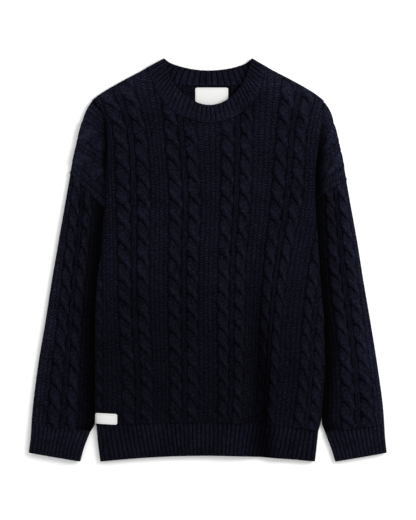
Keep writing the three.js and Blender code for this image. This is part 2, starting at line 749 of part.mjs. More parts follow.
function knit(name, geometry) {
  const material = new THREE.MeshStandardMaterial({ color: knitColour, roughness: 0.95, metalness: 0 });
  const mesh = new THREE.Mesh(geometry, material);
  mesh.name = name;
  return mesh;
}

function woven(name, geometry) {
  const material = new THREE.MeshStandardMaterial({ color: labelColour, roughness: 0.8, metalness: 0 });
  const mesh = new THREE.Mesh(geometry, material);
  mesh.name = name;
  return mesh;
}

// What the collar takes out of the front panel
function neckCutter() {
  const grown = besideSeam(collarFront, collarFrontRibs);
  const above = 370;
  const outline = [[grown[0][0], above], ...grown, [grown.at(-1)[0], above]];
  const shape = new THREE.Shape(outline.map(([x, y]) => new THREE.Vector2(x, y)));
  const cutter = new THREE.ExtrudeGeometry(shape, { depth: 60, bevelEnabled: false });
  cutter.translate(0, 0, -10);
  return cutter;
}

function solidFromGeometry(source) {
  const bare = source.clone();
  bare.deleteAttribute('normal');
  bare.deleteAttribute('uv');
  const merged = mergeVertices(bare);
  const vertProperties = new Float32Array(merged.attributes.position.array);
  const triVerts = new Uint32Array(merged.index.array);
  return new wasm.Manifold(new wasm.Mesh({ numProp: 3, vertProperties, triVerts }));
}

function frontGeometry() {
  const body = solidOf(bodyWall()).subtract(solidFromGeometry(neckCutter()));
  const left = solidOf(shoulderWall(leftShoulder, -1));
  const right = solidOf(shoulderWall(rightShoulder, 1));
  return geometryFromSolid(body.add(left).add(right));
}

// The outline's middle, which goes to the origin
const outlineMiddle = { x: -1.1, y: -0.3 };
const sweater = new THREE.Group();
sweater.position.set(-outlineMiddle.x, -outlineMiddle.y, 0);
sweater.add(
  knit('front', frontGeometry()),
  knit('back', backGeometry()),
  knit('sleeve_left', geometryOf(sleeveWall(leftSleeve, -1))),
  knit('sleeve_right', geometryOf(sleeveWall(rightSleeve, 1))),
  knit('cuff_left', geometryOf(cuffWall(leftCuff, -1))),
  knit('cuff_right', geometryOf(cuffWall(rightCuff, 1))),
  knit('hem_band', geometryOf(hemWall())),
  knit('collar', geometryOf(collarWall())),
  woven('neck_label', geometryOf(neckLabelWall())),
  woven('hem_label', geometryOf(hemLabelWall())),
);

export default sweater;
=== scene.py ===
import math
import bpy
import numpy as np
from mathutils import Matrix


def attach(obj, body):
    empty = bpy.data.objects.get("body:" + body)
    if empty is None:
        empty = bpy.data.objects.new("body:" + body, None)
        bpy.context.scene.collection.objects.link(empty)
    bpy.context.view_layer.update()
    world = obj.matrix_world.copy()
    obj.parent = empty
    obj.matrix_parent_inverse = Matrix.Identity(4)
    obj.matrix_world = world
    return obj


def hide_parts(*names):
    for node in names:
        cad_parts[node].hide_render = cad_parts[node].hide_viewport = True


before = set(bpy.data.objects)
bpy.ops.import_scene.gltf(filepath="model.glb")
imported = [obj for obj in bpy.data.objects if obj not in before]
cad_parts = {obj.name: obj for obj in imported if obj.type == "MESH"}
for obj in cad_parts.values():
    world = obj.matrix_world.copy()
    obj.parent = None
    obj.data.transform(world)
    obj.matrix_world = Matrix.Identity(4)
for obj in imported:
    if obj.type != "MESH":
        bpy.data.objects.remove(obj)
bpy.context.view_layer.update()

# Everything below is in millimetres in the garment's own plan, +x to the viewer's right and +y to the neck.
# toMetres() moves it to the frame: the middle of the outline goes to the origin.
cloth = {
    "wall": 3.2,
    "back": 4.0,
    "seamGap": 0.3,
    "loft": 4.6,
    "middle": (-1.1, -0.3),
    "bodyEdgeRadius": 17,
    "shoulderRadius": 26,
    "tubeEdgeRadius": 17,
    "foldEdgeHeight": 5.2,
}
restLevel = cloth["back"] + cloth["seamGap"]
plainTop = restLevel + cloth["loft"] + cloth["wall"]

knit = {
    "cableRise": 6.4,
    "centreRibRise": 3.4,
    "columnRise": 0.5,
    "grooveDepth": 1.0,
    "sweep": 1.45,
    "bend": 0.66,
    "shift": 0.34,
    "diagonal": 0.3,
    "sag": 0.22,
    "cableHalf": 13.4,
    "strandRound": 5.5,
    "pinch": 0.36,
    "crossingPitch": 34.0,
    "pairWidth": 61.0,
    "panelWidth": 30.6,
    "panelColumns": 4,
    "coursesPerCrossing": 8,
    "firstEnd": 0.44,
    "secondStart": 0.59,
    "softRelief": 0.4,
}


def mix(a, b, t):  # a + (b - a) t
    return a + (b - a) * t


def smooth(t):  # 3t^2 - 2t^3 between 0 and 1
    t = np.clip(t, 0, 1)
    return t * t * (3 - 2 * t)


def rounded(distance, radius):  # quarter circle: 0 at an edge, 1 from one radius in
    t = np.clip(distance / radius, 0, 1)
    return np.sqrt(1 - (1 - t) ** 2)


def bell(offset, width):  # exp(-(offset / width)^2)
    return np.exp(-((offset / width) ** 2))


# Smooth curve through a table, flat past its ends: cubic pieces whose end slopes are the mean of the
# neighbouring slopes, limited so that it never overshoots.
def reading(keys, values, at):
    keys, values = np.asarray(keys, float), np.asarray(values, float)
    if keys[0] > keys[-1]:
        keys, values = keys[::-1], values[::-1]
    at = np.clip(at, keys[0], keys[-1])
    width, slope = np.diff(keys), np.diff(values) / np.diff(keys)
    before, after = np.append(slope[0], slope[:-1]), np.append(slope[1:], slope[-1])

    def limited(other):
        mean = (slope + other) / 2
        return np.where(mean * slope <= 0, 0, np.sign(mean) * np.minimum(abs(mean), 3 * abs(slope)))

    start, end = limited(before), limited(after)
    i = np.clip(np.searchsorted(keys, at, side="right") - 1, 0, len(slope) - 1)
    t = (at - keys[i]) / width[i]
    return mix(values[i], values[i + 1], t * t * (3 - 2 * t)) + width[i] * t * (1 - t) * (
        (1 - t) * start[i] - t * end[i]
    )


def column(table, name):
    return [row[name] for row in table]


def table(names, *rows):
    return [dict(zip(names, row)) for row in rows]


def lookUp(rows, name, at):  # a table's column, read by its first one
    return reading(column(rows, next(iter(rows[0]))), column(rows, name), at)


def stations(rows):  # the same by a share from the first row to the last
    number = np.linspace(0, 1, len(rows))
    return lambda v, name: reading(number, column(rows, name), np.clip(v, 0, 1))


# Side edges of the body panel from the hem seam to the shoulder points
bodyEdges = table(
    ("y", "left", "right"),
    (-300, -195.3, 192.2), (-289, -196.5, 195.3), (-265, -198.5, 199.5), (-235, -198.5, 202.3),
    (-177, -198.5, 205), (-106, -198.5, 202), (-55, -196, 197.5), (17, -188.8, 192),
    (104, -182.3, 188.5), (160, -181, 190), (223, -179.7, 198.8), (244, -182.7, 201.5),
    (258, -188, 202.5), (272, -196.7, 201.5), (282, -201, 199.5),
)

# Where each pair of cables starts and ends across the body, at sections from the hem seam up
waleLines = table(
    ("y", "farLeft", "left1", "left2", "midLeft1", "midLeft2", "midRight1", "midRight2", "right1", "right2",
     "farRight1", "farRight2"),
    (-292, -186.5, -151, -98, -69, -18, 15, 57, 81, 115, 146, 193),
    (-228, -184.5, -151, -96, -68, -16.5, 16.8, 60.5, 84, 120, 155, 197),
    (-91, -184.5, -157.5, -102, -70.7, -17.3, 15, 64, 91, 129, 165, 205),
    (0, -186, -159, -102.7, -70.7, -16.5, 16.8, 66, 97.5, 142, 177, 226),
    (104, -188, -161.7, -100.5, -69, -13, 20.3, 74.5, 107.8, 163.8, 195.3, 250),
    (227, -194, -167, -109.2, -77.7, -20, 22, 78, 118.3, 172.5, 204, 260),
    (306, -230, -202, -130, -85, -28, 22, 78, 127, 192, 225, 280),
)
waleNames = [name for name in waleLines[0] if name != "y"]

hemSeam = table(("x", "y"), (-205, -290.5), (-100, -286), (0, -284), (100, -289), (205, -300))
bodyTop = table(
    ("x", "y"),
    (-201, 280.8), (-188.8, 289.7), (-178.3, 296.4), (-147.7, 313.8), (-113.5, 331.9), (-107.5, 335.3),
    (-99.4, 314.3), (-88.2, 288.9), (-72.8, 268.8), (-57.2, 254.8), (-25.9, 242), (5, 238.2),
    (36.6, 245.2), (52.1, 251.3), (67.5, 263.6), (80.3, 278.1), (95.5, 309.1), (104.3, 335.3),
    (110.5, 332), (145.4, 314), (176.9, 296.2), (187.4, 289.4), (199.5, 280),
)
neckCorner = {"left": -107.5, "right": 104.3}

# Dropped shoulders, armhole seam first: the knit runs from the outer edge down to the body's edge
leftShoulder = table(
    ("outX", "outY", "inY"),
    (-241.5, 148.5, 86.5), (-238, 170, 122), (-231.9, 197, 159), (-228.6, 212, 178), (-219.5, 244, 213),
    (-204.5, 276, 252),
)
rightShoulder = table(
    ("outX", "outY", "inY"),
    (241.4, 137, 104), (237.7, 160, 132), (231.8, 189, 164), (228.4, 204, 181), (219.2, 238, 214),
    (203, 275.3, 252),
)

# Sleeves from the armhole seam to the cuff seam, with the pair of cables as shares of the width
leftSleeve = table(
    ("outX", "outY", "inX", "inY", "cable1", "cable2"),
    (-241.6, 147.6, -184.1, 86, 0.08, 0.66), (-249, 105, -186.9, 48, 0.13, 0.7),
    (-261.4, 34, -192.5, -12, 0.18, 0.73), (-273.4, -36, -197.8, -70, 0.22, 0.74),
    (-284.4, -106, -199.3, -130, 0.24, 0.74), (-296.2, -176, -199.3, -190, 0.25, 0.74),
    (-304.8, -240, -199.3, -252, 0.25, 0.74), (-307.7, -268, -198.2, -284, 0.25, 0.74),
    (-309.2, -286, -207, -302, 0.25, 0.74),
)
rightSleeve = table(
    ("outX", "outY", "inX", "inY", "cable1", "cable2"),
    (241.5, 136.2, 189.3, 103.5, 0.06, 0.72), (247.8, 100, 190.4, 62, 0.08, 0.74),
    (259.7, 34, 194, -2, 0.11, 0.78), (270.8, -36, 198.9, -62, 0.13, 0.8),
    (282.8, -106, 204.1, -126, 0.15, 0.77), (294.1, -176, 205.6, -190, 0.16, 0.74),
    (303.2, -240, 201.8, -252, 0.16, 0.71), (305.9, -266, 197.9, -282, 0.16, 0.71),
    (307.4, -286.5, 204.3, -303, 0.16, 0.71),
)
leftCuff = table(
    ("outX", "outY", "inX", "inY"),
    (-309.2, -286.3, -207.1, -302.3), (-310.8, -312, -217, -328), (-313.9, -337, -223.8, -352.5),
)
rightCuff = table(
    ("outX", "outY", "inX", "inY"),
    (307.4, -286.8, 204.4, -303.3), (308.9, -312, 214.3, -329), (311.7, -337, 221.5, -352.5),
)
hemSides = table(
    ("share", "left", "right"),
    (0, -195.8, 192.2), (0.5, -192.8, 189.3), (1, -189, 186.2),
)
hemEdge = {"side": -352.5, "middle": -342.1, "middleX": -1}

collarFront = table(
    ("seamX", "seamY", "topX", "topY"),
    (-107.5, 335.7, -77.7, 351.9), (-96.5, 308, -70, 329), (-82.5, 280.5, -62.5, 311),
    (-61, 257.5, -46, 291), (-30, 243.5, -21, 274.5), (4, 238.6, 3, 269.5), (36, 245.4, 27, 275.5),
    (61, 258.3, 48, 291.5), (80.5, 279, 62, 310.5), (94.3, 307.5, 69.5, 329), (104.3, 335.7, 76.3, 351.9),
)
collarBack = table(
    ("seamX", "seamY", "topX", "topY"),
    (-107.5, 335.7, -77.7, 351.9), (-84, 317, -66, 343.5), (-56.7, 308, -45, 336.5), (-28, 305.5, -22, 332),
    (0, 304.7, 0, 330.6), (28, 305.2, 22, 331.8), (55.3, 307.5, 44, 335.5), (82, 317, 64.5, 342.5),
    (104.3, 335.7, 76.3, 351.9),
)

# The drape fold at the lower right: its trough, how far it has grown and its two slopes
drape = {"height": 6.5, "left": 44, "right": 24, "trough": 4.4, "shadeAt": 4, "shadeLeft": 30, "shadeRight": 20}
foldLine = table(
    ("y", "x", "share"), (-350, 94, 1), (-228, 91, 1), (-140, 88.5, 0.8), (-40, 85, 0.4), (52, 83, 0)
)


def foldRise(x, y):  # share(y) (height ridge(t) - trough dip(t)), with t the distance in slope widths
    grown = lookUp(foldLine, "share", y)
    offset = x - lookUp(foldLine, "x", y)
    t = abs(offset) / np.where(offset < 0, drape["left"], drape["right"])
    ridge, dip = np.exp(-((t - 1.15) ** 2) / 0.35), np.exp(-(t**2) / 0.3)
    return grown * (drape["height"] * 0.75 * ridge - drape["trough"] * dip)


def waves(x, y, amount):  # soft unevenness of laid cloth: a sum of three long slanted waves
    return amount * (
        np.sin(x / 47 + y / 83 + 0.6) + np.sin(x / 29 - y / 61 + 2.1) + np.sin(x / 71 + y / 37 + 4.0)
    ) / 3


# The knitted pattern over two coordinates: wale counts pairs of cables and purl panels from the left (even
# unit: a pair, odd unit: a panel), turns counts the cables' crossings from the top. A strand enters a cable at
# its left edge, crosses over and leaves at its right edge. With a from -1 to 1 across the cable, the line
# between two strands runs at turns = n + 1/2 + s / pi, s = sweep tanh((a - shift) / bend). The strand is
# highest halfway along, cos(pi l / 2) with l from -1 to 1 along it, and rounds down to the lines beside it,
# least where it lies beside its neighbour. It sags by a share away from the crossing, whose ridge is
# cos(pi (turns - diagonal a))^4. The cable's edges are pinched in there by pinch cos(pi turns)^4.
def cableHeight(share, turns):
    a = 2 * share - 1
    steep = np.tanh((a - knit["shift"]) / knit["bend"])
    sweep = knit["sweep"]
    p = np.mod(turns - 0.5 - sweep * steep / np.pi, 1)
    slope = sweep / knit["bend"] * (1 - steep**2) * knit["crossingPitch"] / np.pi / knit["cableHalf"]
    fromLine = np.minimum(p, 1 - p) * knit["crossingPitch"] / np.sqrt(1 + slope**2)
    along = ((p - 0.5) * np.pi + sweep * steep) / (np.pi / 2 + sweep)
    floorAt = mix(0.3, 0.85, smooth((a + 0.05) / 0.5) * (1 - smooth((a - 0.6) / 0.4)))
    dome = mix(floorAt, 1, rounded(fromLine, knit["strandRound"]))
    ridge = np.cos(np.pi * (turns - knit["diagonal"] * a)) ** 4
    dome = dome * mix(1 - knit["sag"], 1, ridge)
    fromEdge = 1 - abs(a) - knit["pinch"] * np.cos(np.pi * turns) ** 4
    return rounded(fromEdge, 0.5) * dome * (0.5 + 0.5 * np.cos(np.pi * along / 2))


def knitRelief(wale, turns):  # millimetres above the plain cloth
    unit, share = np.mod(wale, 2), np.mod(wale, 1)
    first, second = knit["firstEnd"], knit["secondStart"]
    inCable = np.where(share < first, share / first, np.clip((share - second) / (1 - second), 0, 1))
    middle = np.clip((share - first) / (second - first), 0, 1)
    ribs = knit["centreRibRise"] * abs(np.sin(2 * np.pi * middle)) ** 0.6
    pair = np.where((share > first) & (share < second), ribs, knit["cableRise"] * cableHeight(inCable, turns))
    purl = knit["columnRise"] * abs(np.sin(np.pi * knit["panelColumns"] * share))
    groove = knit["grooveDepth"] * (bell(share, 0.06) + bell(1 - share, 0.06))
    return np.where(unit < 1, pair, purl - groove)


# Numbered crossings down the body, and how far each cable's own are above them
bodyCrossings = table(("y", "number"), (353, -3), (248.5, 0), (73.5, 5), (-91.9, 10), (-243.3, 15), (-331, 18))
crossingLift = table(
    ("wale", "lift"),
    (0.2, -2), (0.8, -3.5), (2.2, -7), (2.8, 0), (4.2, 0), (4.8, 4.4), (6.2, 7), (6.8, 10.5), (8.2, 0),
    (8.8, 3.5), (10.2, -4.4), (10.8, -2),
)


def bodyWales(x, y):  # wale and turns at a point of the body, front or back
    at = [lookUp(waleLines, name, y) for name in waleNames]
    bounds = [at[0] - knit["pairWidth"]] + at
    wale = np.zeros_like(x)
    for low, high in zip(bounds[:-1], bounds[1:]):
        wale += np.clip((x - low) / (high - low), 0, 1)
    lift = lookUp(crossingLift, "lift", wale)
    return wale, lookUp(bodyCrossings, "number", y - lift)


def toMetres(points):
    middle = np.array([*cloth["middle"], 0])
    return (points - middle) / 1000


# Moves a grid of points out along its own normals: p + n relief, n from the grid's two tangents
def raised(points, relief, ring=False):
    if ring:
        padded = np.concatenate([points[:, -1:], points, points[:, :1]], 1)
        across = (padded[:, 2:] - padded[:, :-2]) / 2
    else:
        across = np.gradient(points, axis=1)
    along = np.gradient(points, axis=0)
    normal = np.cross(across, along)
    length = np.linalg.norm(normal, axis=-1, keepdims=True)
    normal = normal / np.maximum(length, 1e-9)
    return points + normal * relief[..., None]


# One closed wall between a fine outer grid and a plain inner grid, whose rows and columns are every
# rowStep-th and columnStep-th of the outer one. A ring closes on itself along its columns.
def wallArrays(outer, inner, rowStep, columnStep, ring):
    m, n = outer.shape[:2]
    p, q = inner.shape[:2]
    outerAt = np.arange(m * n).reshape(m, n)
    innerAt = np.arange(p * q).reshape(p, q) + m * n
    if ring:
        outerAt = np.concatenate([outerAt, outerAt[:, :1]], 1)
        innerAt = np.concatenate([innerAt, innerAt[:, :1]], 1)

    def quads(grid, flip):
        corners = [grid[:-1, :-1], grid[:-1, 1:], grid[1:, 1:], grid[1:, :-1]]
        if flip:
            corners = corners[::-1]
        return np.stack([c.ravel() for c in corners], -1)

    def rim(outerLine, innerLine, step, flip):
        i = np.arange(len(outerLine) - 1)
        near = innerLine[np.where(i % step < step // 2, i // step, i // step + 1)]
        fans = np.stack([near, outerLine[1:], outerLine[:-1]], -1)
        middles = outerLine[np.arange(len(innerLine) - 1) * step + step // 2]
        fills = np.stack([innerLine[:-1], innerLine[1:], middles], -1)
        both = np.concatenate([fans, fills])
        return both[:, ::-1] if flip else both

    rims = [rim(outerAt[0], innerAt[0], columnStep, False), rim(outerAt[-1], innerAt[-1], columnStep, True)]
    if not ring:
        rims += [
            rim(outerAt[:, 0], innerAt[:, 0], rowStep, True),
            rim(outerAt[:, -1], innerAt[:, -1], rowStep, False),
        ]
    points = np.concatenate([outer.reshape(-1, 3), inner.reshape(-1, 3)])
    return points, [quads(outerAt, False), quads(innerAt, True)], rims


# Puts one or more walls into one mesh. The fabric's own coordinates (wale or rib, course) become the UV map
# Knit. Each point's painted shade (painted light where it is below 0; on a label, its woven border instead)
# becomes a point attribute, and how far its pattern is smoothed out the attribute soft.
def clothPiece(name, walls, material):
    points, faces, fabric, depths, softs = [], [], [], [], []
    start = 0
    for wall in walls:
        p, quads, rims = wallArrays(
            wall["outer"], wall["inner"], wall["rowStep"], wall["columnStep"], wall["ring"]
        )
        innerFabric = wall.get("innerFabric", wall["fabric"][:: wall["rowStep"], :: wall["columnStep"]])
        innerFabric = innerFabric.reshape(-1, 2)
        points.append(p)
        faces += [(f + start).tolist() for f in quads + rims]
        fabric.append(np.concatenate([wall["fabric"].reshape(-1, 2), innerFabric]))
        # Inner faces get an even painted shade: 0.6, unless the wall gives its own inside value
        depths.append(np.append(wall["depth"].ravel(), wall.get("inside", 0.6) + np.zeros(len(innerFabric))))
        soft = wall.get("soft", 0.0) + np.zeros(wall["depth"].shape)
        softs.append(np.append(soft.ravel(), np.zeros(len(innerFabric))))
        start += len(p)
    mesh = bpy.data.meshes.new(name)
    mesh.from_pydata(toMetres(np.concatenate(points)).tolist(), [], [f for group in faces for f in group])
    mesh.polygons.foreach_set("use_smooth", np.ones(len(mesh.polygons), bool))
    loopPoint = np.zeros(len(mesh.loops), np.int32)
    mesh.loops.foreach_get("vertex_index", loopPoint)
    uv = mesh.uv_layers.new(name="Knit")
    uv.uv.foreach_set("vector", np.concatenate(fabric)[loopPoint].astype(np.float32).ravel())
    # Painted shade is kept between -0.9 (painted light) and 1 (full painted shade)
    for label, values in (("depth", np.clip(np.concatenate(depths), -0.9, 1)), ("soft", np.concatenate(softs))):
        attribute = mesh.attributes.new(label, "FLOAT", "POINT")
        attribute.data.foreach_set("value", values.astype(np.float32))
    mesh.materials.append(material)
    mesh.update()
    piece = bpy.data.objects.new(name, mesh)
    bpy.context.collection.objects.link(piece)
    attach(piece, "root")
    return piece


# Shader helpers. A Value is one socket of a node tree, so that shaders read as formulas.
class Value:
    def __init__(self, socket):
        self.socket, self.tree = socket, socket.id_data

    __add__ = __radd__ = lambda a, b: maths("ADD", a, b)
    __mul__ = __rmul__ = lambda a, b: maths("MULTIPLY", a, b)
    __sub__ = lambda a, b: maths("SUBTRACT", a, b)
    __rsub__ = lambda a, b: maths("SUBTRACT", b, a)
    __truediv__ = lambda a, b: maths("DIVIDE", a, b)
    __mod__ = lambda a, b: maths("FLOORED_MODULO", a, b)
    __pow__ = lambda a, b: maths("POWER", a, b)
    __gt__ = lambda a, b: maths("GREATER_THAN", a, b)
    __lt__ = lambda a, b: maths("LESS_THAN", a, b)
    __abs__ = lambda a: maths("ABSOLUTE", a)


def feed(socket, value):  # links a Value in, sets anything else
    if isinstance(value, Value):
        value.tree.links.new(value.socket, socket)
    else:
        socket.default_value = value


def nodeIn(tree, kind, inputs=None, **settings):
    made = tree.nodes.new(kind)
    for key, value in settings.items():
        setattr(made, key, value)
    for key, value in (inputs or {}).items():
        feed(made.inputs[key], value)
    return made


def maths(operation, *values):
    tree = next(value.tree for value in values if isinstance(value, Value))
    return Value(nodeIn(tree, "ShaderNodeMath", dict(enumerate(values)), operation=operation).outputs[0])


def between(value, low, high, toLow=0.0, toHigh=1.0):  # smooth step from toLow at low to toHigh at high
    ends = {"From Min": low, "From Max": high, "To Min": toLow, "To Max": toHigh}
    made = nodeIn(value.tree, "ShaderNodeMapRange", {"Value": value, **ends}, interpolation_type="SMOOTHSTEP")
    return Value(made.outputs["Result"])


def choose(mask, no, yes):  # no where the mask is 0, yes where it is 1
    return Value(nodeIn(mask.tree, "ShaderNodeMix", {0: mask, 2: no, 3: yes}, data_type="FLOAT").outputs[0])


def mixedColour(mask, no, yes, clamp=True):
    made = nodeIn(mask.tree, "ShaderNodeMix", data_type="RGBA", clamp_factor=clamp)
    for key, value in ((0, mask), (6, no), (7, yes)):
        feed(made.inputs[key], value)
    return Value(made.outputs[2])


def separated(vector):
    made = nodeIn(vector.tree, "ShaderNodeSeparateXYZ", {0: vector})
    return Value(made.outputs[0]), Value(made.outputs[1])


def noiseIn(tree, scale, detail, rough=0.5):
    place = Value(nodeIn(tree, "ShaderNodeTexCoord").outputs["Object"])
    inputs = {"Vector": place, "Scale": scale, "Detail": detail, "Roughness": rough}
    return Value(nodeIn(tree, "ShaderNodeTexNoise", inputs, noise_dimensions="3D").outputs["Fac"])


def bumped(height, strength, distance):
    inputs = {"Height": height, "Strength": strength, "Distance": distance}
    return Value(nodeIn(height.tree, "ShaderNodeBump", inputs).outputs["Normal"])


def groupWith(name, inputs, outputs):  # inputs without a default are vectors
    tree = bpy.data.node_groups.new(name, "ShaderNodeTree")
    for label, value in inputs.items():
        kind = "NodeSocketVector" if value is None else "NodeSocketFloat"
        socket = tree.interface.new_socket(label, in_out="INPUT", socket_type=kind)
        if value is not None:
            socket.default_value = value
    for label in outputs:
        tree.interface.new_socket(label, in_out="OUTPUT", socket_type="NodeSocketFloat")
    given, out = nodeIn(tree, "NodeGroupInput"), nodeIn(tree, "NodeGroupOutput")
    return tree, [Value(given.outputs[label]) for label in inputs], out.inputs


def groupNode(tree, group, inputs):
    return [Value(socket) for socket in nodeIn(tree, "ShaderNodeGroup", inputs, node_tree=group).outputs]


def newMaterial(name, inputs):
    material = bpy.data.materials.new(name)
    material.use_nodes = True
    shader = material.node_tree.nodes["Principled BSDF"].inputs
    for label, value in inputs.items():
        shader[label].default_value = value
    return material, material.node_tree, shader


# Stitches: columns of rounded bars one unit apart each way. Stagger moves every other column by a share of a
# course, lean turns each bar into a V. Tone is one random value for each stitch.
def stitchGroup():
    tree, (across, along, stagger, lean), out = groupWith(
        "knitStitches", {"Column": 0.0, "Course": 0.0, "Stagger": 0.0, "Lean": 0.5}, ["Height", "Tone"]
    )
    fromMiddle = abs(maths("FRACT", across) * 2 - 1)
    column = maths("FLOOR", across)
    leaned = fromMiddle * lean + (column % 2 * stagger + along)
    inCourse = abs(maths("FRACT", leaned) * 2 - 1)
    feed(out["Height"], (1 - inCourse**2.2) * (1 - fromMiddle**5))
    cell = nodeIn(tree, "ShaderNodeCombineXYZ", {0: column, 1: maths("FLOOR", leaned)})
    noise = nodeIn(tree, "ShaderNodeTexWhiteNoise", {"Vector": Value(cell.outputs[0])}, noise_dimensions="3D")
    feed(out["Tone"], Value(noise.outputs["Value"]))
    return tree


# The same cables and panels as knitRelief, drawn fine: Height in millimetres for the bump, Shade as painted
# shade from 0 in the gaps between strands, ribs and bars to 1 on their crests, with painted light and shade
# along each strand and a random tone for each stitch. Soft fades the gaps out.
def cablePanelGroup(stitches):
    tree, (fabric, soft), out = groupWith("cablePanel", {"Fabric": None, "Soft": 0.0}, ["Height", "Shade"])
    wale, turns = separated(fabric)
    first, second, sweep = knit["firstEnd"], knit["secondStart"], knit["sweep"]
    inPanel, share = wale % 2 > 1, maths("FRACT", wale)
    inRib = (share > first) * (share < second)
    inCable = choose(share > (first + second) / 2, share / first, (share - second) / (1 - second))
    across = inCable * 2 - 1
    steep = maths("TANH", (across - knit["shift"]) / knit["bend"])
    inStrand = maths("FRACT", steep * (-sweep / math.pi) + turns - 0.5)
    slope = (1 - steep * steep) * (sweep / knit["bend"] * knit["crossingPitch"] / math.pi / knit["cableHalf"])
    stretch = maths("SQRT", slope * slope + 1)
    fromLine = (0.5 - abs(inStrand - 0.5)) * knit["crossingPitch"] / stretch
    # Painted shadow lines: where one strand dives under the next, strongest at the left, and along the cable's
    # pinched edges
    edge = between(fromLine, 0.3, 2.1, 1, 0) * between(across, -0.1, 0.5, 1, 0.1)
    along = (inStrand * math.pi - math.pi / 2 + steep * sweep) / (math.pi / 2 + sweep)
    # Painted light and shade along each strand: darker where it dives under and on its lower left flank,
    # lighter on the crossing's ridge
    flank = between(inStrand, 0.5, 0.95) * between(across, -0.5, -0.1)
    ridge = abs(maths("COSINE", (turns - across * knit["diagonal"]) * math.pi)) ** 4
    paintedStrandLight = between(along, -1.0, -0.5, 0.85, 1.03) * between(along, 0.3, 0.95, 1, 0.7)
    paintedStrandLight = paintedStrandLight * (1.03 - flank * 0.2) * (ridge * 0.26 + 0.9)
    pinch = abs(maths("COSINE", turns * math.pi)) ** 4 * knit["pinch"]
    sides = between(1 - abs(across) - pinch, 0.0, 0.18, 0.5, 0)
    ribWave = abs(maths("SINE", (share - first) / (second - first) * (2 * math.pi)))
    line = choose(inRib, maths("MAXIMUM", edge, sides), between(ribWave, 0.05, 0.7, 0.4, 0)) * (1 - soft)
    wobble = noiseIn(tree, 70, 1) - 0.5
    courses = turns * knit["coursesPerCrossing"] + wobble * 1.4
    strand, strandTone = groupNode(tree, stitches, {
        "Column": inStrand * 4, "Course": across * 2.4 + courses, "Stagger": 0.0, "Lean": 0.55})
    bar, barTone = groupNode(tree, stitches, {
        "Column": share * knit["panelColumns"] + wobble * 0.2, "Course": courses, "Stagger": 0.5, "Lean": 0.0})
    strandShade = (strand * 0.34 + 0.56) * (1 - line * 0.72) * choose(inRib, paintedStrandLight, 0.88)
    strandShade = strandShade * (strandTone * 0.4 + 0.8)
    feed(out["Height"], choose(inPanel, strand * 0.6 - line, bar * 1.3))
    feed(out["Shade"], choose(inPanel, strandShade, (bar * 0.7 + 0.24) * (barTone * 0.3 + 0.85)))
    return tree


# Ribs one unit apart, two columns of V stitches on each, with the same two outputs: Shade is painted shade
# in the valleys between ribs and between stitches, times a random tone for each stitch
def ribGroup(stitches):
    tree, (fabric, soft), out = groupWith("ribKnit", {"Fabric": None, "Soft": 0.0}, ["Height", "Shade"])
    rib, course = separated(fabric)
    valley = between(abs(maths("FRACT", rib) - 0.5), 0.28, 0.47) * (1 - soft)
    stitch, toneAndShadeShift = groupNode(tree, stitches, {"Column": rib * 2, "Course": course, "Stagger": 0.0, "Lean": 0.6})
    feed(out["Height"], stitch * 0.45 - valley * 0.7)
    feed(out["Shade"], (stitch * 0.3 + 0.72) * (1 - valley * 0.62) * (toneAndShadeShift * 0.3 + 0.85))
    return tree


# Wool: fine fibre noise for the bump, and a heathered shade from flecks and slow patches
def woolGroup():
    scales = {"Fibre Scale": 1100.0, "Fleck Scale": 400.0, "Patch Scale": 22.0}
    tree, (fibre, fleck, patch), out = groupWith("woolFibre", scales, ["Fuzz", "Heather"])
    flecks = between(noiseIn(tree, fleck, 1, 0.6), 0.36, 0.64, -0.5, 0.5)
    feed(out["Fuzz"], noiseIn(tree, fibre, 3, 0.7))
    feed(out["Heather"], noiseIn(tree, patch, 3, 0.6) * 0.9 + (flecks * 0.95 - 0.45))
    return tree


stitches, woolFibre = stitchGroup(), woolGroup()

# The wool's colour runs from a near-black in full painted shade up to its navy on lit crests. shadeFall is how
# far the painted shade attribute darkens it; below 0 the attribute lightens it as painted light.
wool = {
    "gap": (0.0002, 0.0001, 0.0001, 1),
    "crest": (0.0058, 0.0062, 0.0122, 1),
    "heather": 0.55,
    "shadeFall": 0.95,
    "roughness": 0.9,
    "specular": 0.008,
    "sheen": 0.008,
    "sheenRoughness": 0.5,
    "sheenTint": (0.9, 0.76, 0.9, 1),
    "bump": 0.9,
    "fuzz": 0.55,
}


def woolMaterial(name, pattern):
    material, tree, shader = newMaterial(name, {
        "Roughness": wool["roughness"], "Specular IOR Level": wool["specular"], "Sheen Weight": wool["sheen"],
        "Sheen Roughness": wool["sheenRoughness"], "Sheen Tint": wool["sheenTint"]})
    fabric = Value(nodeIn(tree, "ShaderNodeUVMap", uv_map="Knit").outputs["UV"])
    depth, soft = (Value(nodeIn(tree, "ShaderNodeAttribute", attribute_name=label).outputs["Fac"])
                   for label in ("depth", "soft"))
    height, shade = groupNode(tree, pattern, {"Fabric": fabric, "Soft": soft})
    fuzz, heather = groupNode(tree, woolFibre, {})
    feed(shader["Normal"], bumped(fuzz * wool["fuzz"] + height, wool["bump"], 0.001))
    # Painted shade from the pattern and from the attribute, times the wool's real heather
    lit = shade * (heather * (wool["heather"] * 2) + 1) * (1 - depth * wool["shadeFall"])
    feed(shader["Base Color"], mixedColour(maths("MAXIMUM", lit, 0), wool["gap"], wool["crest"], clamp=False))
    return material


cableWool = woolMaterial("navyCableKnit", cablePanelGroup(stitches))
ribWool = woolMaterial("navyRibKnit", ribGroup(stitches))


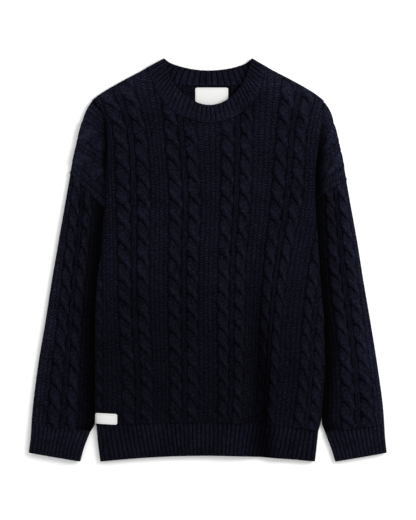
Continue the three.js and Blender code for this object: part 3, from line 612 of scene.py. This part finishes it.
# Front panel, body part. Plain height: rest level plus the loft times a quarter round at each free edge.
def bodyHeight(x, y, inset):
    left = x - lookUp(bodyEdges, "left", y) - inset
    right = lookUp(bodyEdges, "right", y) - x - inset
    edge = rounded(left, cloth["bodyEdgeRadius"]) * rounded(right, cloth["bodyEdgeRadius"])
    edge = edge * rounded(fromTop(x, y) - inset, cloth["shoulderRadius"])
    top = plainTop - inset + foldRise(x, y) + waves(x, y, 0.9)
    return mix(restLevel, top, edge)


def fromTop(x, y):  # distance below the shoulder line, or in from the neck's corner beside the neck
    shoulderLine = (lookUp(bodyTop, "y", x) - y) * 0.87
    corner = np.minimum(x - neckCorner["left"], neckCorner["right"] - x)
    return np.where(corner < 0, shoulderLine, np.hypot(corner, np.maximum(0, 335 - y)) + corner)


# Places below are a start and the length that it grows or fades over
body = {
    "rows": 370, "rowStep": 10, "columnStep": 8, "leftStrip": 24, "pair": 32, "pairParts": (14, 5, 13),
    "panel": 16, "rightStrip": 40, "firmOver": 8, "firmBelowTop": 18, "topFirm": 0.15, "pressedRelief": 0.12,
    "foldShade": 0.82, "valleyShade": 0.95, "valleyReach": {-1: 4, 1: 3},
    "lowShade": 0.27, "lowShadeY": (20, 180), "lowShadeX": (140, 40), "topLight": 0.7, "topLightReach": 75,
    "washed": 0.45, "washedY": (-110, 160), "washedX": (-10, 120),
}


def bodyPlan(inset):  # x from the guides at y, y from the hem seam to the top line at x, settled by repeats
    guides = ["left"] + waleNames[1:9] + ["turn", "right"]
    counts = [body["leftStrip"]] + [body["pair"], body["panel"]] * 3 + [body["pair"]]
    counts += [body["panel"], body["rightStrip"] - body["panel"]]
    first, second = knit["firstEnd"], knit["secondStart"]
    low, share = [], []
    for k, count in enumerate(counts):
        t = np.arange(count) / count
        if k == 0:
            t = t**1.3
        if count == body["pair"]:
            spans = zip((0, first, second), (first, second, 1), body["pairParts"])
            t = np.concatenate([mix(begin, end, np.arange(n) / n) for begin, end, n in spans])
        if k == len(counts) - 1:
            t = 1 - (1 - t) ** 1.2
        low += [k] * count
        share += list(t)
    low, share = np.array(low + [len(counts) - 1]), np.array(share + [1.0])
    up = np.linspace(0, 1, body["rows"] + 1)[:, None]
    y = mix(-290, 300, up) + 0 * share[None]
    for _ in range(12):
        at = {name: lookUp(waleLines, name, y) for name in waleNames}
        at["left"] = lookUp(bodyEdges, "left", y)
        at["right"] = lookUp(bodyEdges, "right", y)
        at["turn"] = np.minimum(at["farRight1"], mix(at["right2"], at["right"], 0.6))
        lines = np.stack([at[name] for name in guides])
        columns = np.arange(len(share))[None]
        rows = np.arange(len(y))[:, None]
        x = mix(lines[low[None], rows, columns], lines[low[None] + 1, rows, columns], share[None])
        intoNeck = np.minimum(x - neckCorner["left"], neckCorner["right"] - x)
        top = lookUp(bodyTop, "y", x) - np.where(intoNeck < 0, inset, 0.4)
        bottom = lookUp(hemSeam, "y", x) + 0.4
        y = mix(y, mix(bottom, top, up), 0.7)
    return np.clip(x, at["left"] + inset, at["right"] - inset), y


hemLabelPlace = {"left": -196.4, "right": -159, "top": -267.4, "bottom": -286, "slope": -0.05}


def pressed(x, y):  # 0 under the hem label, 1 away from it
    beside = np.maximum(0, x - hemLabelPlace["right"]) / 5
    above = np.maximum(0, y - hemLabelPlace["top"]) / 6
    return smooth(np.hypot(beside, above))


# Painted shade in the drape fold: an uneven bell around its trough, wider on the left
def foldShade(x, y):
    grown = lookUp(foldLine, "share", y)
    offset = x - lookUp(foldLine, "x", y) - drape["shadeAt"]
    width = np.where(offset < 0, drape["shadeLeft"], drape["shadeRight"])
    return body["foldShade"] * grown * bell(offset, width)


# How open the valley between the body and a dropped shoulder is at y: 1 where the slit is deepest
valleys = {
    -1: table(("y", "slit"), (60, 0), (90, 0.35), (140, 0.8), (165, 1), (235, 1), (252, 0.45), (270, 0)),
    1: table(("y", "slit"), (40, 0), (80, 0.4), (110, 0.85), (150, 1), (200, 0.9), (228, 0.45), (250, 0)),
}


def lowCorner(x, y, alongX, alongY):  # 1 low down at the left, fading out upwards and to the right
    return smooth((alongY[0] - y) / alongY[1]) * (1 - smooth((x - alongX[0]) / alongX[1]))


def bodyWall():
    x, y = bodyPlan(0)
    base = np.stack([x, y, bodyHeight(x, y, 0)], -1)
    wale, turns = bodyWales(x, y)
    belowTop = fromTop(x, y)
    firm = smooth((base[..., 2] - restLevel) / body["firmOver"])
    firm = firm * mix(body["topFirm"], 1, smooth(belowTop / body["firmBelowTop"]))
    soft = body["washed"] * lowCorner(x, y, body["washedX"], body["washedY"])
    relief = knitRelief(wale, turns) * firm * mix(body["pressedRelief"], 1, pressed(x, y))
    outer = raised(base, relief * (1 - knit["softRelief"] * soft))
    innerX, innerY = bodyPlan(cloth["wall"])
    inner = np.stack([innerX, innerY, bodyHeight(innerX, innerY, cloth["wall"])], -1)
    # Painted shade, darker towards the lower left of the body
    low = body["lowShade"] * lowCorner(x, y, body["lowShadeX"], body["lowShadeY"])
    depth = np.maximum(foldShade(x, y), low)
    # Painted shade in the slits between the body and the dropped shoulders
    for side, name in ((-1, "left"), (1, "right")):
        inwards = side * (lookUp(bodyEdges, name, y) - x)
        slit = lookUp(valleys[side], "slit", y)
        depth = np.maximum(depth, body["valleyShade"] * slit * bell(inwards, body["valleyReach"][side]))
    # Painted light along the shoulder line and beside the neck
    depth = depth - body["topLight"] * (1 - smooth(belowTop / body["topLightReach"]))
    return dict(outer=outer, inner=inner[:: body["rowStep"], :: body["columnStep"]], rowStep=body["rowStep"],
                columnStep=body["columnStep"], ring=False, fabric=np.stack([wale, turns], -1), depth=depth,
                soft=soft)


# A dropped shoulder: rows follow the knit from the outer edge to the valley beside the body. Its bands are
# purl, cable, rib, cable and purl, counted up from the armhole seam.
shoulder = {
    "bandRows": (12, 18, 10, 18, 20),
    "rowStep": 6,
    "columns": 48,
    "columnStep": 4,
    "valley": {-1: 17, 1: 24},
    "seamRidge": 1.6,
    "topBow": {-1: 1.2, 1: 2.5},
    "bowLift": 0.45,
    "shade": 1.0,
    "shadeReach": {-1: (3, 12), 1: (7, 20)},
    "soft": 0.6,
    "outerLight": 0.9,
    "outerReach": 40,
    "edgeShade": 0.55,
    "edgeReach": 22,
    "edgeBelow": (205, 60),
    "bandHeight": 22,
    "firstTurn": 0.45,
}
bandWales = {-1: (1.5, 2, 2.44, 2.59, 3, 3.999), 1: (3.5, 3, 2.59, 2.44, 2, 1.001)}


def shoulderWall(rows, side):
    counts = shoulder["bandRows"]
    band = np.append(np.concatenate([k + np.arange(n) / n for k, n in enumerate(counts)]), len(counts))
    number = np.arange(len(rows))
    across = np.linspace(0, 1, shoulder["columns"] + 1)[None] ** 1.25

    def grid(inset):
        outX, outY, inY = (reading(number, column(rows, name), band)[:, None] for name in rows[0])
        bow = shoulder["topBow"][side] * np.sin(np.pi * np.clip(band[:, None] - 4, 0, 1))
        outX, outY = outX + side * bow, outY + shoulder["bowLift"] * bow
        edge = "left" if side < 0 else "right"
        inX = lookUp(bodyEdges, edge, inY) - side * (3 + inset * 0.25)
        length = np.hypot(inX - outX, inY - outY)
        u = mix(inset / length, 1, across)
        x, y = mix(outX, inX, u), mix(outY, inY, u)
        slit = lookUp(valleys[side], "slit", y)
        dip = mix(mix(0.75, 0.1, slit), 1, smooth((1 - u) * length / shoulder["valley"][side]))
        top = mix(restLevel + cloth["wall"] + 0.4, plainTop + waves(x, y, 0.9), dip) - inset
        z = mix(restLevel, top, rounded(u * length - inset, cloth["bodyEdgeRadius"]))
        return np.stack([x, y, z], -1), u * length, (1 - u) * length, slit

    base, along, inwards, slit = grid(0)
    wale = np.interp(band, np.arange(len(counts) + 1), bandWales[side])[:, None] + 0 * along
    turns = along / knit["crossingPitch"] + shoulder["firstTurn"]
    fromSeam = band[:, None] * shoulder["bandHeight"]
    ridge = shoulder["seamRidge"] * bell(fromSeam - 3.5, 2.4) - 1.8 * bell(fromSeam, 1.5)
    firm = smooth((base[..., 2] - restLevel) / 5) * smooth(inwards / 9)
    relief = knitRelief(wale, turns) * (1 - knit["softRelief"] * shoulder["soft"])
    relief = relief * firm * smooth(fromSeam / 4) + ridge
    # Painted shade in the slit beside the body, lower down along the body's edge and in the armhole seam's
    # groove; painted light along the outer edge
    near, reach = shoulder["shadeReach"][side]
    depth = shoulder["shade"] * slit * (1 - smooth((inwards - near) / reach))
    (start, length), edge = shoulder["edgeBelow"], 1 - smooth(inwards / shoulder["edgeReach"])
    depth = np.maximum(depth, shoulder["edgeShade"] * edge * smooth((start - base[..., 1]) / length))
    depth = np.maximum(depth, 0.5 * bell(fromSeam, 1.2))
    depth = depth - shoulder["outerLight"] * (1 - smooth(along / shoulder["outerReach"]))
    inner = grid(cloth["wall"])[0]
    fabric = np.stack([wale, turns], -1)
    if side > 0:
        base, relief, fabric, depth, inner = (grid[:, ::-1] for grid in (base, relief, fabric, depth, inner))
    return dict(outer=raised(base, relief), inner=inner[:: shoulder["rowStep"], :: shoulder["columnStep"]],
                rowStep=shoulder["rowStep"], columnStep=shoulder["columnStep"], ring=False, fabric=fabric,
                depth=depth, soft=shoulder["soft"])


frontPanel = clothPiece(
    "frontPanel", [bodyWall(), shoulderWall(leftShoulder, -1), shoulderWall(rightShoulder, 1)], cableWool,
)
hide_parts("front")
print("front panel:", len(frontPanel.data.polygons), "faces")


# A flattened tube. Stations run along the front from left to right and back along the underside; each has a
# share across. plan(v, t, front) gives x and y, top(v, t, x, y) the plain height, knitted(v, t, x, y) the
# relief, the fabric coordinates and the painted shade; the underside gets an even painted shade of 0.3.
# tucks are how far the front runs on under its neighbours at the left and right ends, where the fold stays
# thin.
def tubeWall(rows, rowStep, frontShares, backShares, columnStep, plan, top, knitted, recess, tucks=(0, 0),
             insideRibs=None):
    t = np.concatenate([frontShares[:-1], backShares[:-1]])[None]
    front = np.concatenate([np.ones(len(frontShares) - 1, bool), np.zeros(len(backShares) - 1, bool)])[None]
    v = rows[:, None]

    def ring(inset):
        ends = [plan(v, np.full_like(v, end), True) for end in (0.0, 1.0)]
        width = np.hypot(ends[1][0] - ends[0][0], ends[1][1] - ends[0][1])
        place = mix(inset / width, 1 - inset / width, t)
        frontXy, backXy = plan(v, place, True), plan(np.maximum(v, 0.002), place, False)
        x, y = np.where(front, frontXy[0], backXy[0]), np.where(front, frontXy[1], backXy[1])
        radius = cloth["tubeEdgeRadius"] - inset
        fromLeft, fromRight = t * (width - 2 * inset), (1 - t) * (width - 2 * inset)
        edge = rounded(fromLeft, radius) * rounded(fromRight, radius)
        under = rounded(fromLeft - tucks[0], radius) * rounded(fromRight - tucks[1], radius)
        upper = mix(cloth["foldEdgeHeight"], top(v, place, x, y) - inset, edge)
        lower = mix(cloth["foldEdgeHeight"], cloth["back"] - 0.4 if inset else 0.0, under)
        return np.stack([x, y, np.where(front, upper, lower)], -1), np.where(front, edge, under)

    base, edge = ring(0)
    relief, fabric, depth = knitted(v, t, base[..., 0], base[..., 1])
    outer = raised(base, np.where(front, relief * mix(0.25, 1, edge), 0), True)
    outer[..., 2] += np.where(front, 0, recess * (1 - np.clip(relief / relief.max(), 0, 1)) * edge)
    inner, innerEdge = ring(cloth["wall"])
    if insideRibs is not None:
        inner[..., 2] += np.where(front, 0, insideRibs(t) * innerEdge)
    return dict(outer=outer, inner=inner[::rowStep, ::columnStep], rowStep=rowStep, columnStep=columnStep,
                ring=True, fabric=fabric, depth=np.where(front, depth, 0.3))


sleeve = {
    "rows": 300, "rowStep": 10, "front": 88, "back": 44, "columnStep": 4, "sink": 4.2, "tuck": 5.0,
    "recess": 1.6, "seamTuck": 0.012, "seamDrop": 3.4, "shade": {-1: 0.97, 1: 0.92},
    "shadeReach": {-1: 40, 1: 32}, "outerLight": {-1: 0.75, 1: 0.9}, "outerReach": 32,
}
sleeveCrossings = {
    -1: table(("y", "number"), (234, 0), (62, 5), (-110, 10), (-213, 13), (-316, 16)),
    1: table(("y", "number"), (234, 0), (75, 5), (-85, 10), (-213.5, 14), (-310, 17)),
}
sleeveSecondLift = {-1: -3, 1: 8}


def sleeveWall(rows, side):
    at = stations(rows)

    def outerShare(t):
        return t if side < 0 else 1 - t

    def plan(v, t, front):
        share = outerShare(t)
        outX, outY, inX, inY = (at(v, name) for name in ("outX", "outY", "inX", "inY"))
        inX = inX - side * tuck(v)
        beyond = np.minimum(v, 0) * 450
        return mix(outX, inX, share), mix(outY, inY, share) - beyond

    def tuck(v):  # the front runs on under the body's edge, down to where the sleeve leaves it
        return sleeve["tuck"] * (1 - smooth((v - 0.74) / 0.13))

    def width(v):
        return np.hypot(at(v, "inX") - at(v, "outX"), at(v, "inY") - at(v, "outY"))

    def top(v, t, x, y):
        sunk = sleeve["sink"] * smooth((outerShare(t) - 0.45) / 0.5)
        return plainTop - 0.4 - sunk + waves(x, y, 1.0) - sleeve["seamDrop"] * (1 - smooth((v + 0.01) / 0.02))

    def knitted(v, t, x, y):
        share = outerShare(t) * (1 + tuck(v) / width(v))
        first, second, across = at(v, "cable1") + 0 * share, at(v, "cable2") + 0 * share, width(v)
        before, inside, after = first - share, (share - first) / (second - first), share - second
        panel = knit["panelWidth"]
        wale = np.where(share < first, 2 - np.minimum(before * across / panel, 0.98), 2 + inside)
        wale = np.where(share > second, 3 + np.clip(after * across / panel, 0, 0.98), wale)
        if side > 0:
            wale = 5 - wale
        lift = sleeveSecondLift[side] * smooth((np.mod(wale, 1) - 0.3) / 0.4) * (np.floor(wale) == 2)
        crossings = sleeveCrossings[side]
        turns = lookUp(crossings, "number", y - lift)
        # Painted shade on the inner side where the sleeve sinks beside the body and at the armhole seam;
        # painted light along the outer edge
        inwards = (1 - share) * across + 1
        depth = sleeve["shade"][side] * (1 - smooth((inwards - 3) / sleeve["shadeReach"][side]))
        depth = np.maximum(depth, 0.7 * (1 - smooth(v / 0.006)))
        depth = depth - sleeve["outerLight"][side] * (1 - smooth(share * across / sleeve["outerReach"]))
        return knitRelief(wale, turns), np.stack([wale, turns], -1), depth

    even = np.linspace(0, 1, sleeve["front"] + 1)
    shares = mix(even, 0.5 - 0.5 * np.cos(np.pi * even), 0.35)
    rowShares = np.linspace(1, -sleeve["seamTuck"], sleeve["rows"] + 1)
    tucked = tuck(rowShares[:, None])
    tucks = (0, tucked) if side < 0 else (tucked, 0)
    return tubeWall(rowShares, sleeve["rowStep"], shares,
                    np.linspace(1, 0, sleeve["back"] + 1), sleeve["columnStep"], plan, top, knitted,
                    sleeve["recess"], tucks)


sleevePieces = []
for name, rows, side in (("sleeveLeft", leftSleeve, -1), ("sleeveRight", rightSleeve, 1)):
    piece = clothPiece(name, [sleeveWall(rows, side)], cableWool)
    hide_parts("sleeve_left" if side < 0 else "sleeve_right")
    sleevePieces.append(piece)
print("sleeves:", len(sleevePieces[0].data.polygons), "faces each")


# Ribbing: relief rises from narrow valleys to a flat crest across each rib
ribbing = {"rise": 2.4, "samples": 8, "recess": 0.9, "course": 4.1}


def ribRelief(ribs, t):
    return ribbing["rise"] * abs(np.sin(np.pi * ribs * t)) ** 0.6


# A ribbed band's painted shade: darker along its seam, plus an even shift, darker above 0 and lighter below
def ribKnitted(ribs, seamShade=0.25, toneAndShadeShift=0.0, fade=0.0):
    def knitted(v, t, x, y):
        courses = np.hypot(x - x[:1], y - y[:1]) / ribbing["course"]
        seam = toneAndShadeShift + seamShade * bell(v, 0.04) + 0 * t
        relief = ribRelief(ribs, t) * (1 - fade * (1 - smooth(v / 0.5)))
        return relief, np.stack([ribs * t + 0 * v, courses], -1), seam
    return knitted


# The first rows of a cuff and of the hem band run on under the knit above them, sinking as they go
ribTuck = {"share": 0.05, "rows": 30, "length": 52, "sink": 2.6}


def tuckedRows():
    return np.linspace(1, -ribTuck["share"], ribTuck["rows"] + 1)


def tuckSink(v):
    return ribTuck["sink"] * (1 - smooth((v + ribTuck["share"]) / (2 * ribTuck["share"])))


# The cuffs' even painted shade shift lightens them a little, as painted light
cuff = {"ribs": 14, "rowStep": 10, "top": -1.0, "toneAndShadeShift": -0.1}


def cuffWall(rows, side):
    at = stations(rows)

    def plan(v, t, front):
        share = t if side < 0 else 1 - t
        beyond = np.minimum(v, 0) * ribTuck["length"] * (1 if front else 0)
        return mix(at(v, "outX"), at(v, "inX"), share), mix(at(v, "outY"), at(v, "inY"), share) - beyond

    count = cuff["ribs"] * ribbing["samples"]
    return tubeWall(
        tuckedRows(), cuff["rowStep"], np.linspace(0, 1, count + 1),
        np.linspace(1, 0, count // 2 + 1), 4, plan,
        lambda v, t, x, y: plainTop + cuff["top"] - tuckSink(v),
        ribKnitted(cuff["ribs"], toneAndShadeShift=cuff["toneAndShadeShift"]), ribbing["recess"],
    )


cuffPieces = []
for name, rows, side in (("cuffLeft", leftCuff, -1), ("cuffRight", rightCuff, 1)):
    piece = clothPiece(name, [cuffWall(rows, side)], ribWool)
    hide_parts("cuff_left" if side < 0 else "cuff_right")
    cuffPieces.append(piece)
print("cuffs done")

# The hem band's even painted shade shift darkens it
hem = {"ribs": 51, "rowStep": 10, "top": -1.0, "fold": 0.8, "toneAndShadeShift": 0.17}
# How far each rib's lower end leans to the right, over its share of the width
hemLean = table(
    ("share", "lean"), (0, 0), (0.12, 7), (0.28, 6), (0.45, 0), (0.6, -3), (0.76, -8), (0.9, -6), (1, 0)
)


def hemWall():
    def plan(v, t, front):
        left = lookUp(hemSides, "left", v)
        right = lookUp(hemSides, "right", v)
        x = mix(left, right, t) + np.clip(v, 0, 1) * lookUp(hemLean, "lean", t)
        bow = np.clip(((x - hemEdge["middleX"]) / 187) ** 2, 0, 1)
        along = v if front else np.maximum(v, 0)
        return x, mix(lookUp(hemSeam, "y", x),
                      mix(hemEdge["middle"], hemEdge["side"], bow), along)

    def top(v, t, x, y):
        return plainTop + hem["top"] - tuckSink(v) + hem["fold"] * foldRise(x, y) + waves(x, y, 0.6)

    def knitted(v, t, x, y):
        # The drape fold's painted shade runs on over the hem band
        relief, fabric, seam = ribKnitted(hem["ribs"], 0.1, hem["toneAndShadeShift"])(v, t, x, y)
        return relief, fabric, np.maximum(seam, foldShade(x, y))

    count = hem["ribs"] * ribbing["samples"]
    return tubeWall(
        tuckedRows(), hem["rowStep"], np.linspace(0, 1, count + 1),
        np.linspace(1, 0, hem["ribs"] * 4 + 1), 4, plan, top, knitted, ribbing["recess"],
    )


hemBand = clothPiece("hemBand", [hemWall()], ribWool)
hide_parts("hem_band")
print("hem band:", len(hemBand.data.polygons), "faces")

collar = {"frontRibs": 36, "backRibs": 19, "rows": 20, "seamRows": 2, "seamLight": -0.5, "seamSoft": 0.85,
          "top": 0.4, "swell": 1.4}


def collarWall():
    spaced = {True: np.linspace(0, 1, len(collarFront)), False: np.linspace(0, 1, len(collarBack))}

    def plan(v, t, front):
        rows = collarFront if front else collarBack
        seamX, seamY, topX, topY = (reading(spaced[front], column(rows, name), t) for name in rows[0])
        return mix(seamX, topX, v), mix(seamY, topY, v)

    def top(v, t, x, y):
        return plainTop + collar["top"] + collar["swell"] * np.sin(np.pi * v) + 0 * x

    frontCount = collar["frontRibs"] * ribbing["samples"]
    # The collar's front ribs get painted shade at the seam and an even shift that lightens them, as painted
    # light
    wall = tubeWall(
        np.linspace(0, 1, collar["rows"] + 1), 1, np.linspace(0, 1, frontCount + 1),
        np.linspace(1, 0, collar["backRibs"] * ribbing["samples"] + 1), 1, plan, top,
        ribKnitted(collar["frontRibs"], seamShade=0.3, toneAndShadeShift=-0.1, fade=0.6),
        ribbing["recess"], insideRibs=lambda t: ribRelief(collar["backRibs"], t),
    )
    fabric = wall["fabric"].copy()
    fabric[:, frontCount:, 0] *= collar["backRibs"] / collar["frontRibs"]
    # Painted light on the inner wall's first rows along the seam
    inside = np.zeros(wall["inner"].shape[:2])
    inside[: collar["seamRows"]] = collar["seamLight"]
    v = np.linspace(0, 1, collar["rows"] + 1)[:, None]
    return dict(wall, fabric=fabric, inside=inside.ravel(), soft=collar["seamSoft"] * (1 - smooth(v / 0.45)))


collarBand = clothPiece("collarBand", [collarWall()], ribWool)
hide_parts("collar")
print("collar:", len(collarBand.data.polygons), "faces")


# The back panel lies flat. Its underside is the knit pressed on the surface: crests at 0, the rest recessed;
# its upper side shows in the neck as plain purl columns.
back = {"rows": 220, "columns": 190, "recess": 1.7, "inset": 1.2, "inside": 0.8, "insideColumn": 7.65}


def backWall():
    outline = []
    for rows, edge, side in ((leftShoulder, "left", -1), (rightShoulder, "right", 1)):
        wingY = [rows[0]["inY"]] + column(rows, "outY")
        wingX = [lookUp(bodyEdges, edge, rows[0]["inY"])] + column(rows, "outX")
        outline.append((side, wingY, wingX, edge))
    neckX, neckY = column(collarBack, "seamX"), column(collarBack, "seamY")
    share = np.linspace(0, 1, back["columns"] + 1)[None]
    up = np.linspace(0, 1, back["rows"] + 1)[:, None]
    y = mix(-285.0, 300.0, up) + 0 * share
    for _ in range(14):
        sides = []
        for side, wingY, wingX, edge in outline:
            plain = lookUp(bodyEdges, edge, y)
            wing = reading(wingY, wingX, y)
            above = smooth((y - wingY[0]) / (wingY[1] - wingY[0]))
            sides.append(np.where(y < wingY[0], plain, mix(plain, wing, above)) - side * back["inset"])
        x = mix(sides[0], sides[1], share)
        shoulderLine = lookUp(bodyTop, "y", x) - back["inset"]
        neckLine = reading(neckX, neckY, x) + 1.2
        inNeck = (x > neckX[0]) & (x < neckX[-1])
        top = np.where(inNeck, neckLine, shoulderLine)
        bottom = lookUp(hemSeam, "y", x) + 0.5
        y = mix(y, mix(bottom, top, up), 0.6)
    wale, turns = bodyWales(x, y)
    pressedUp = back["recess"] * (1 - np.clip(knitRelief(wale, turns) / knit["cableRise"], 0, 1))
    columns = back["inside"] * (abs(np.sin(np.pi * x / back["insideColumn"])) ** 0.6 - 1)
    inside = np.stack([x, y, cloth["back"] + columns], -1)
    under = np.stack([x, y, pressedUp], -1)
    fabric = np.stack([wale, turns], -1)
    backAndForth = 1.02 + 0.96 * abs(np.mod(x / knit["panelWidth"], 2) - 1)
    plain = np.stack([backAndForth, turns], -1)
    # An even painted shade: 0.3 on the underside, 0.18 on the upper side that shows in the neck
    return dict(outer=under[:, ::-1], inner=inside[:, ::-1], rowStep=1, columnStep=1, ring=False,
                fabric=fabric[:, ::-1], innerFabric=plain[:, ::-1], depth=np.full(x.shape, 0.3), inside=0.18)


backPanel = clothPiece("backPanel", [backWall()], cableWool)
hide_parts("back")
print("back panel:", len(backPanel.data.polygons), "faces")

# Blank woven labels: a rounded rectangle of tape with a raised woven border
label = {"thickness": 0.8, "border": 2.2, "borderRise": 0.22, "radius": 3.0, "columns": 60, "rows": 36,
         "thread": 0.6}
labelColours = {"tape": (0.66, 0.655, 0.642, 1), "border": (0.50, 0.496, 0.486, 1)}


def labelMaterial():
    material, tree, shader = newMaterial("wovenTape", {"Roughness": 0.75, "Specular IOR Level": 0.3})
    across, along = separated(Value(nodeIn(tree, "ShaderNodeUVMap", uv_map="Knit").outputs["UV"]))
    border = Value(nodeIn(tree, "ShaderNodeAttribute", attribute_name="depth").outputs["Fac"])
    weave = groupNode(tree, stitches, {"Column": across, "Course": along, "Stagger": 0.5, "Lean": 0.0})
    feed(shader["Normal"], bumped(weave[0], 0.5, 0.00015))
    feed(shader["Base Color"], mixedColour(border, labelColours["tape"], labelColours["border"]))
    return material


tape = labelMaterial()


def labelWall(width, height, surface):  # surface(a, b, lift) places a point a across and b up the label
    u = np.linspace(-1, 1, label["columns"] + 1)[None]
    v = np.linspace(-1, 1, label["rows"] + 1)[:, None]
    radius = label["radius"]
    overTop = np.maximum(0, abs(v) * height / 2 - (height / 2 - radius))
    half = width / 2 - radius + np.sqrt(np.maximum(0, radius**2 - overTop**2))
    a, b = u * half, v * height / 2 + 0 * u
    fromEdge = np.minimum(half - abs(a), height / 2 - abs(b))
    border = bell(fromEdge - label["border"], 0.5)
    outer = surface(a, b, label["thickness"] + label["borderRise"] * border)
    inner = surface(a, b, 0 * a)
    return dict(outer=outer, inner=inner, rowStep=1, columnStep=1, ring=False,
                fabric=np.stack([a, b], -1) / label["thread"], depth=border)


neckLabelPlace = {"left": -23, "right": 34.5, "top": 300.5, "bottom": 262}


def neckSurface(a, b, lift):
    place = neckLabelPlace
    x = (place["left"] + place["right"]) / 2 + a
    y = (place["top"] + place["bottom"]) / 2 + b
    return np.stack([x, y, restLevel + 0.3 + lift + waves(x, y, 0.25)], -1)


def hemSurface(a, b, lift):
    place = hemLabelPlace
    x = (place["left"] + place["right"]) / 2 + a
    y = (place["top"] + place["bottom"]) / 2 + b + place["slope"] * (x - place["left"])
    z = bodyHeight(x, y, 0)
    slope = bodyHeight(x + 0.5, y, 0) - bodyHeight(x - 0.5, y, 0)
    length = np.hypot(slope, 1)
    out = 0.9 + lift
    return np.stack([x - slope / length * out, y, z + out / length], -1)


labelPieces = []
for name, node, place, surface in (("neckLabel", "neck_label", neckLabelPlace, neckSurface),
                                   ("hemLabel", "hem_label", hemLabelPlace, hemSurface)):
    width, height = place["right"] - place["left"], place["top"] - place["bottom"]
    piece = clothPiece(name, [labelWall(width, height, surface)], tape)
    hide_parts(node)
    labelPieces.append(piece)
print("labels done")

# The cut of each cloth piece, in metres
cuts = {
    "frontPanel": (0.53, 0.64, 0.270), "backPanel": (0.53, 0.62, 0.270), "sleeveLeft": (0.19, 0.45, 0.068),
    "sleeveRight": (0.19, 0.45, 0.062), "cuffLeft": (0.195, 0.054, None), "cuffRight": (0.195, 0.054, None),
    "hemBand": (0.78, 0.060, None), "collarBand": (0.52, 0.032, None), "neckLabel": (0.0575, 0.0385, None),
    "hemLabel": (0.0375, 0.0186, None),
}
for piece in [frontPanel, backPanel, *sleevePieces, *cuffPieces, hemBand, collarBand, *labelPieces]:
    width, length, area = cuts[piece.name]

# Floor, light and camera
studio = {"floor": (0.95, 0.95, 0.95, 1), "key": 34.5, "keyPlace": (1.4, 0.6, 1.5), "keySize": 1.1,
          "fill": 0.88, "cameraHeight": 3.4, "lens": 134.5}


def floorAndLight():
    mesh = bpy.data.meshes.new("floor")
    half = 6.0
    corners = [(-half, -half, 0), (half, -half, 0), (half, half, 0), (-half, half, 0)]
    mesh.from_pydata(corners, [], [(0, 1, 2, 3)])
    floor = bpy.data.objects.new("floor", mesh)
    floor.location.z = -0.0003
    bpy.context.collection.objects.link(floor)
    look = {"Base Color": studio["floor"], "Roughness": 0.9, "Specular IOR Level": 0.0}
    mesh.materials.append(newMaterial("paleFloor", look)[0])
    light = bpy.data.lights.new("key", "AREA")
    light.shape, light.size, light.energy = "DISK", studio["keySize"], studio["key"]
    key = bpy.data.objects.new("key", light)
    key.location = studio["keyPlace"]
    aim = np.array(studio["keyPlace"])
    key.rotation_euler = (math.atan2(math.hypot(aim[0], aim[1]), aim[2]), 0, math.atan2(aim[0], -aim[1]))
    bpy.context.collection.objects.link(key)
    world = bpy.context.scene.world or bpy.data.worlds.new("studio")
    bpy.context.scene.world = world
    world.use_nodes = True
    sky = world.node_tree.nodes["Background"].inputs
    sky["Color"].default_value, sky["Strength"].default_value = (1, 1, 1, 1), studio["fill"]
    bpy.context.scene.view_settings.view_transform = "Standard"


def cameraAbove():
    data = bpy.data.cameras.new("camera")
    data.lens, data.sensor_width, data.sensor_fit = studio["lens"], 36, "AUTO"
    data.clip_end = 50
    camera = bpy.data.objects.new("camera", data)
    camera.location = (0.0004, -0.0004, studio["cameraHeight"])
    bpy.context.collection.objects.link(camera)
    bpy.context.scene.camera = camera


floorAndLight()
cameraAbove()
print("floor, light and camera done")
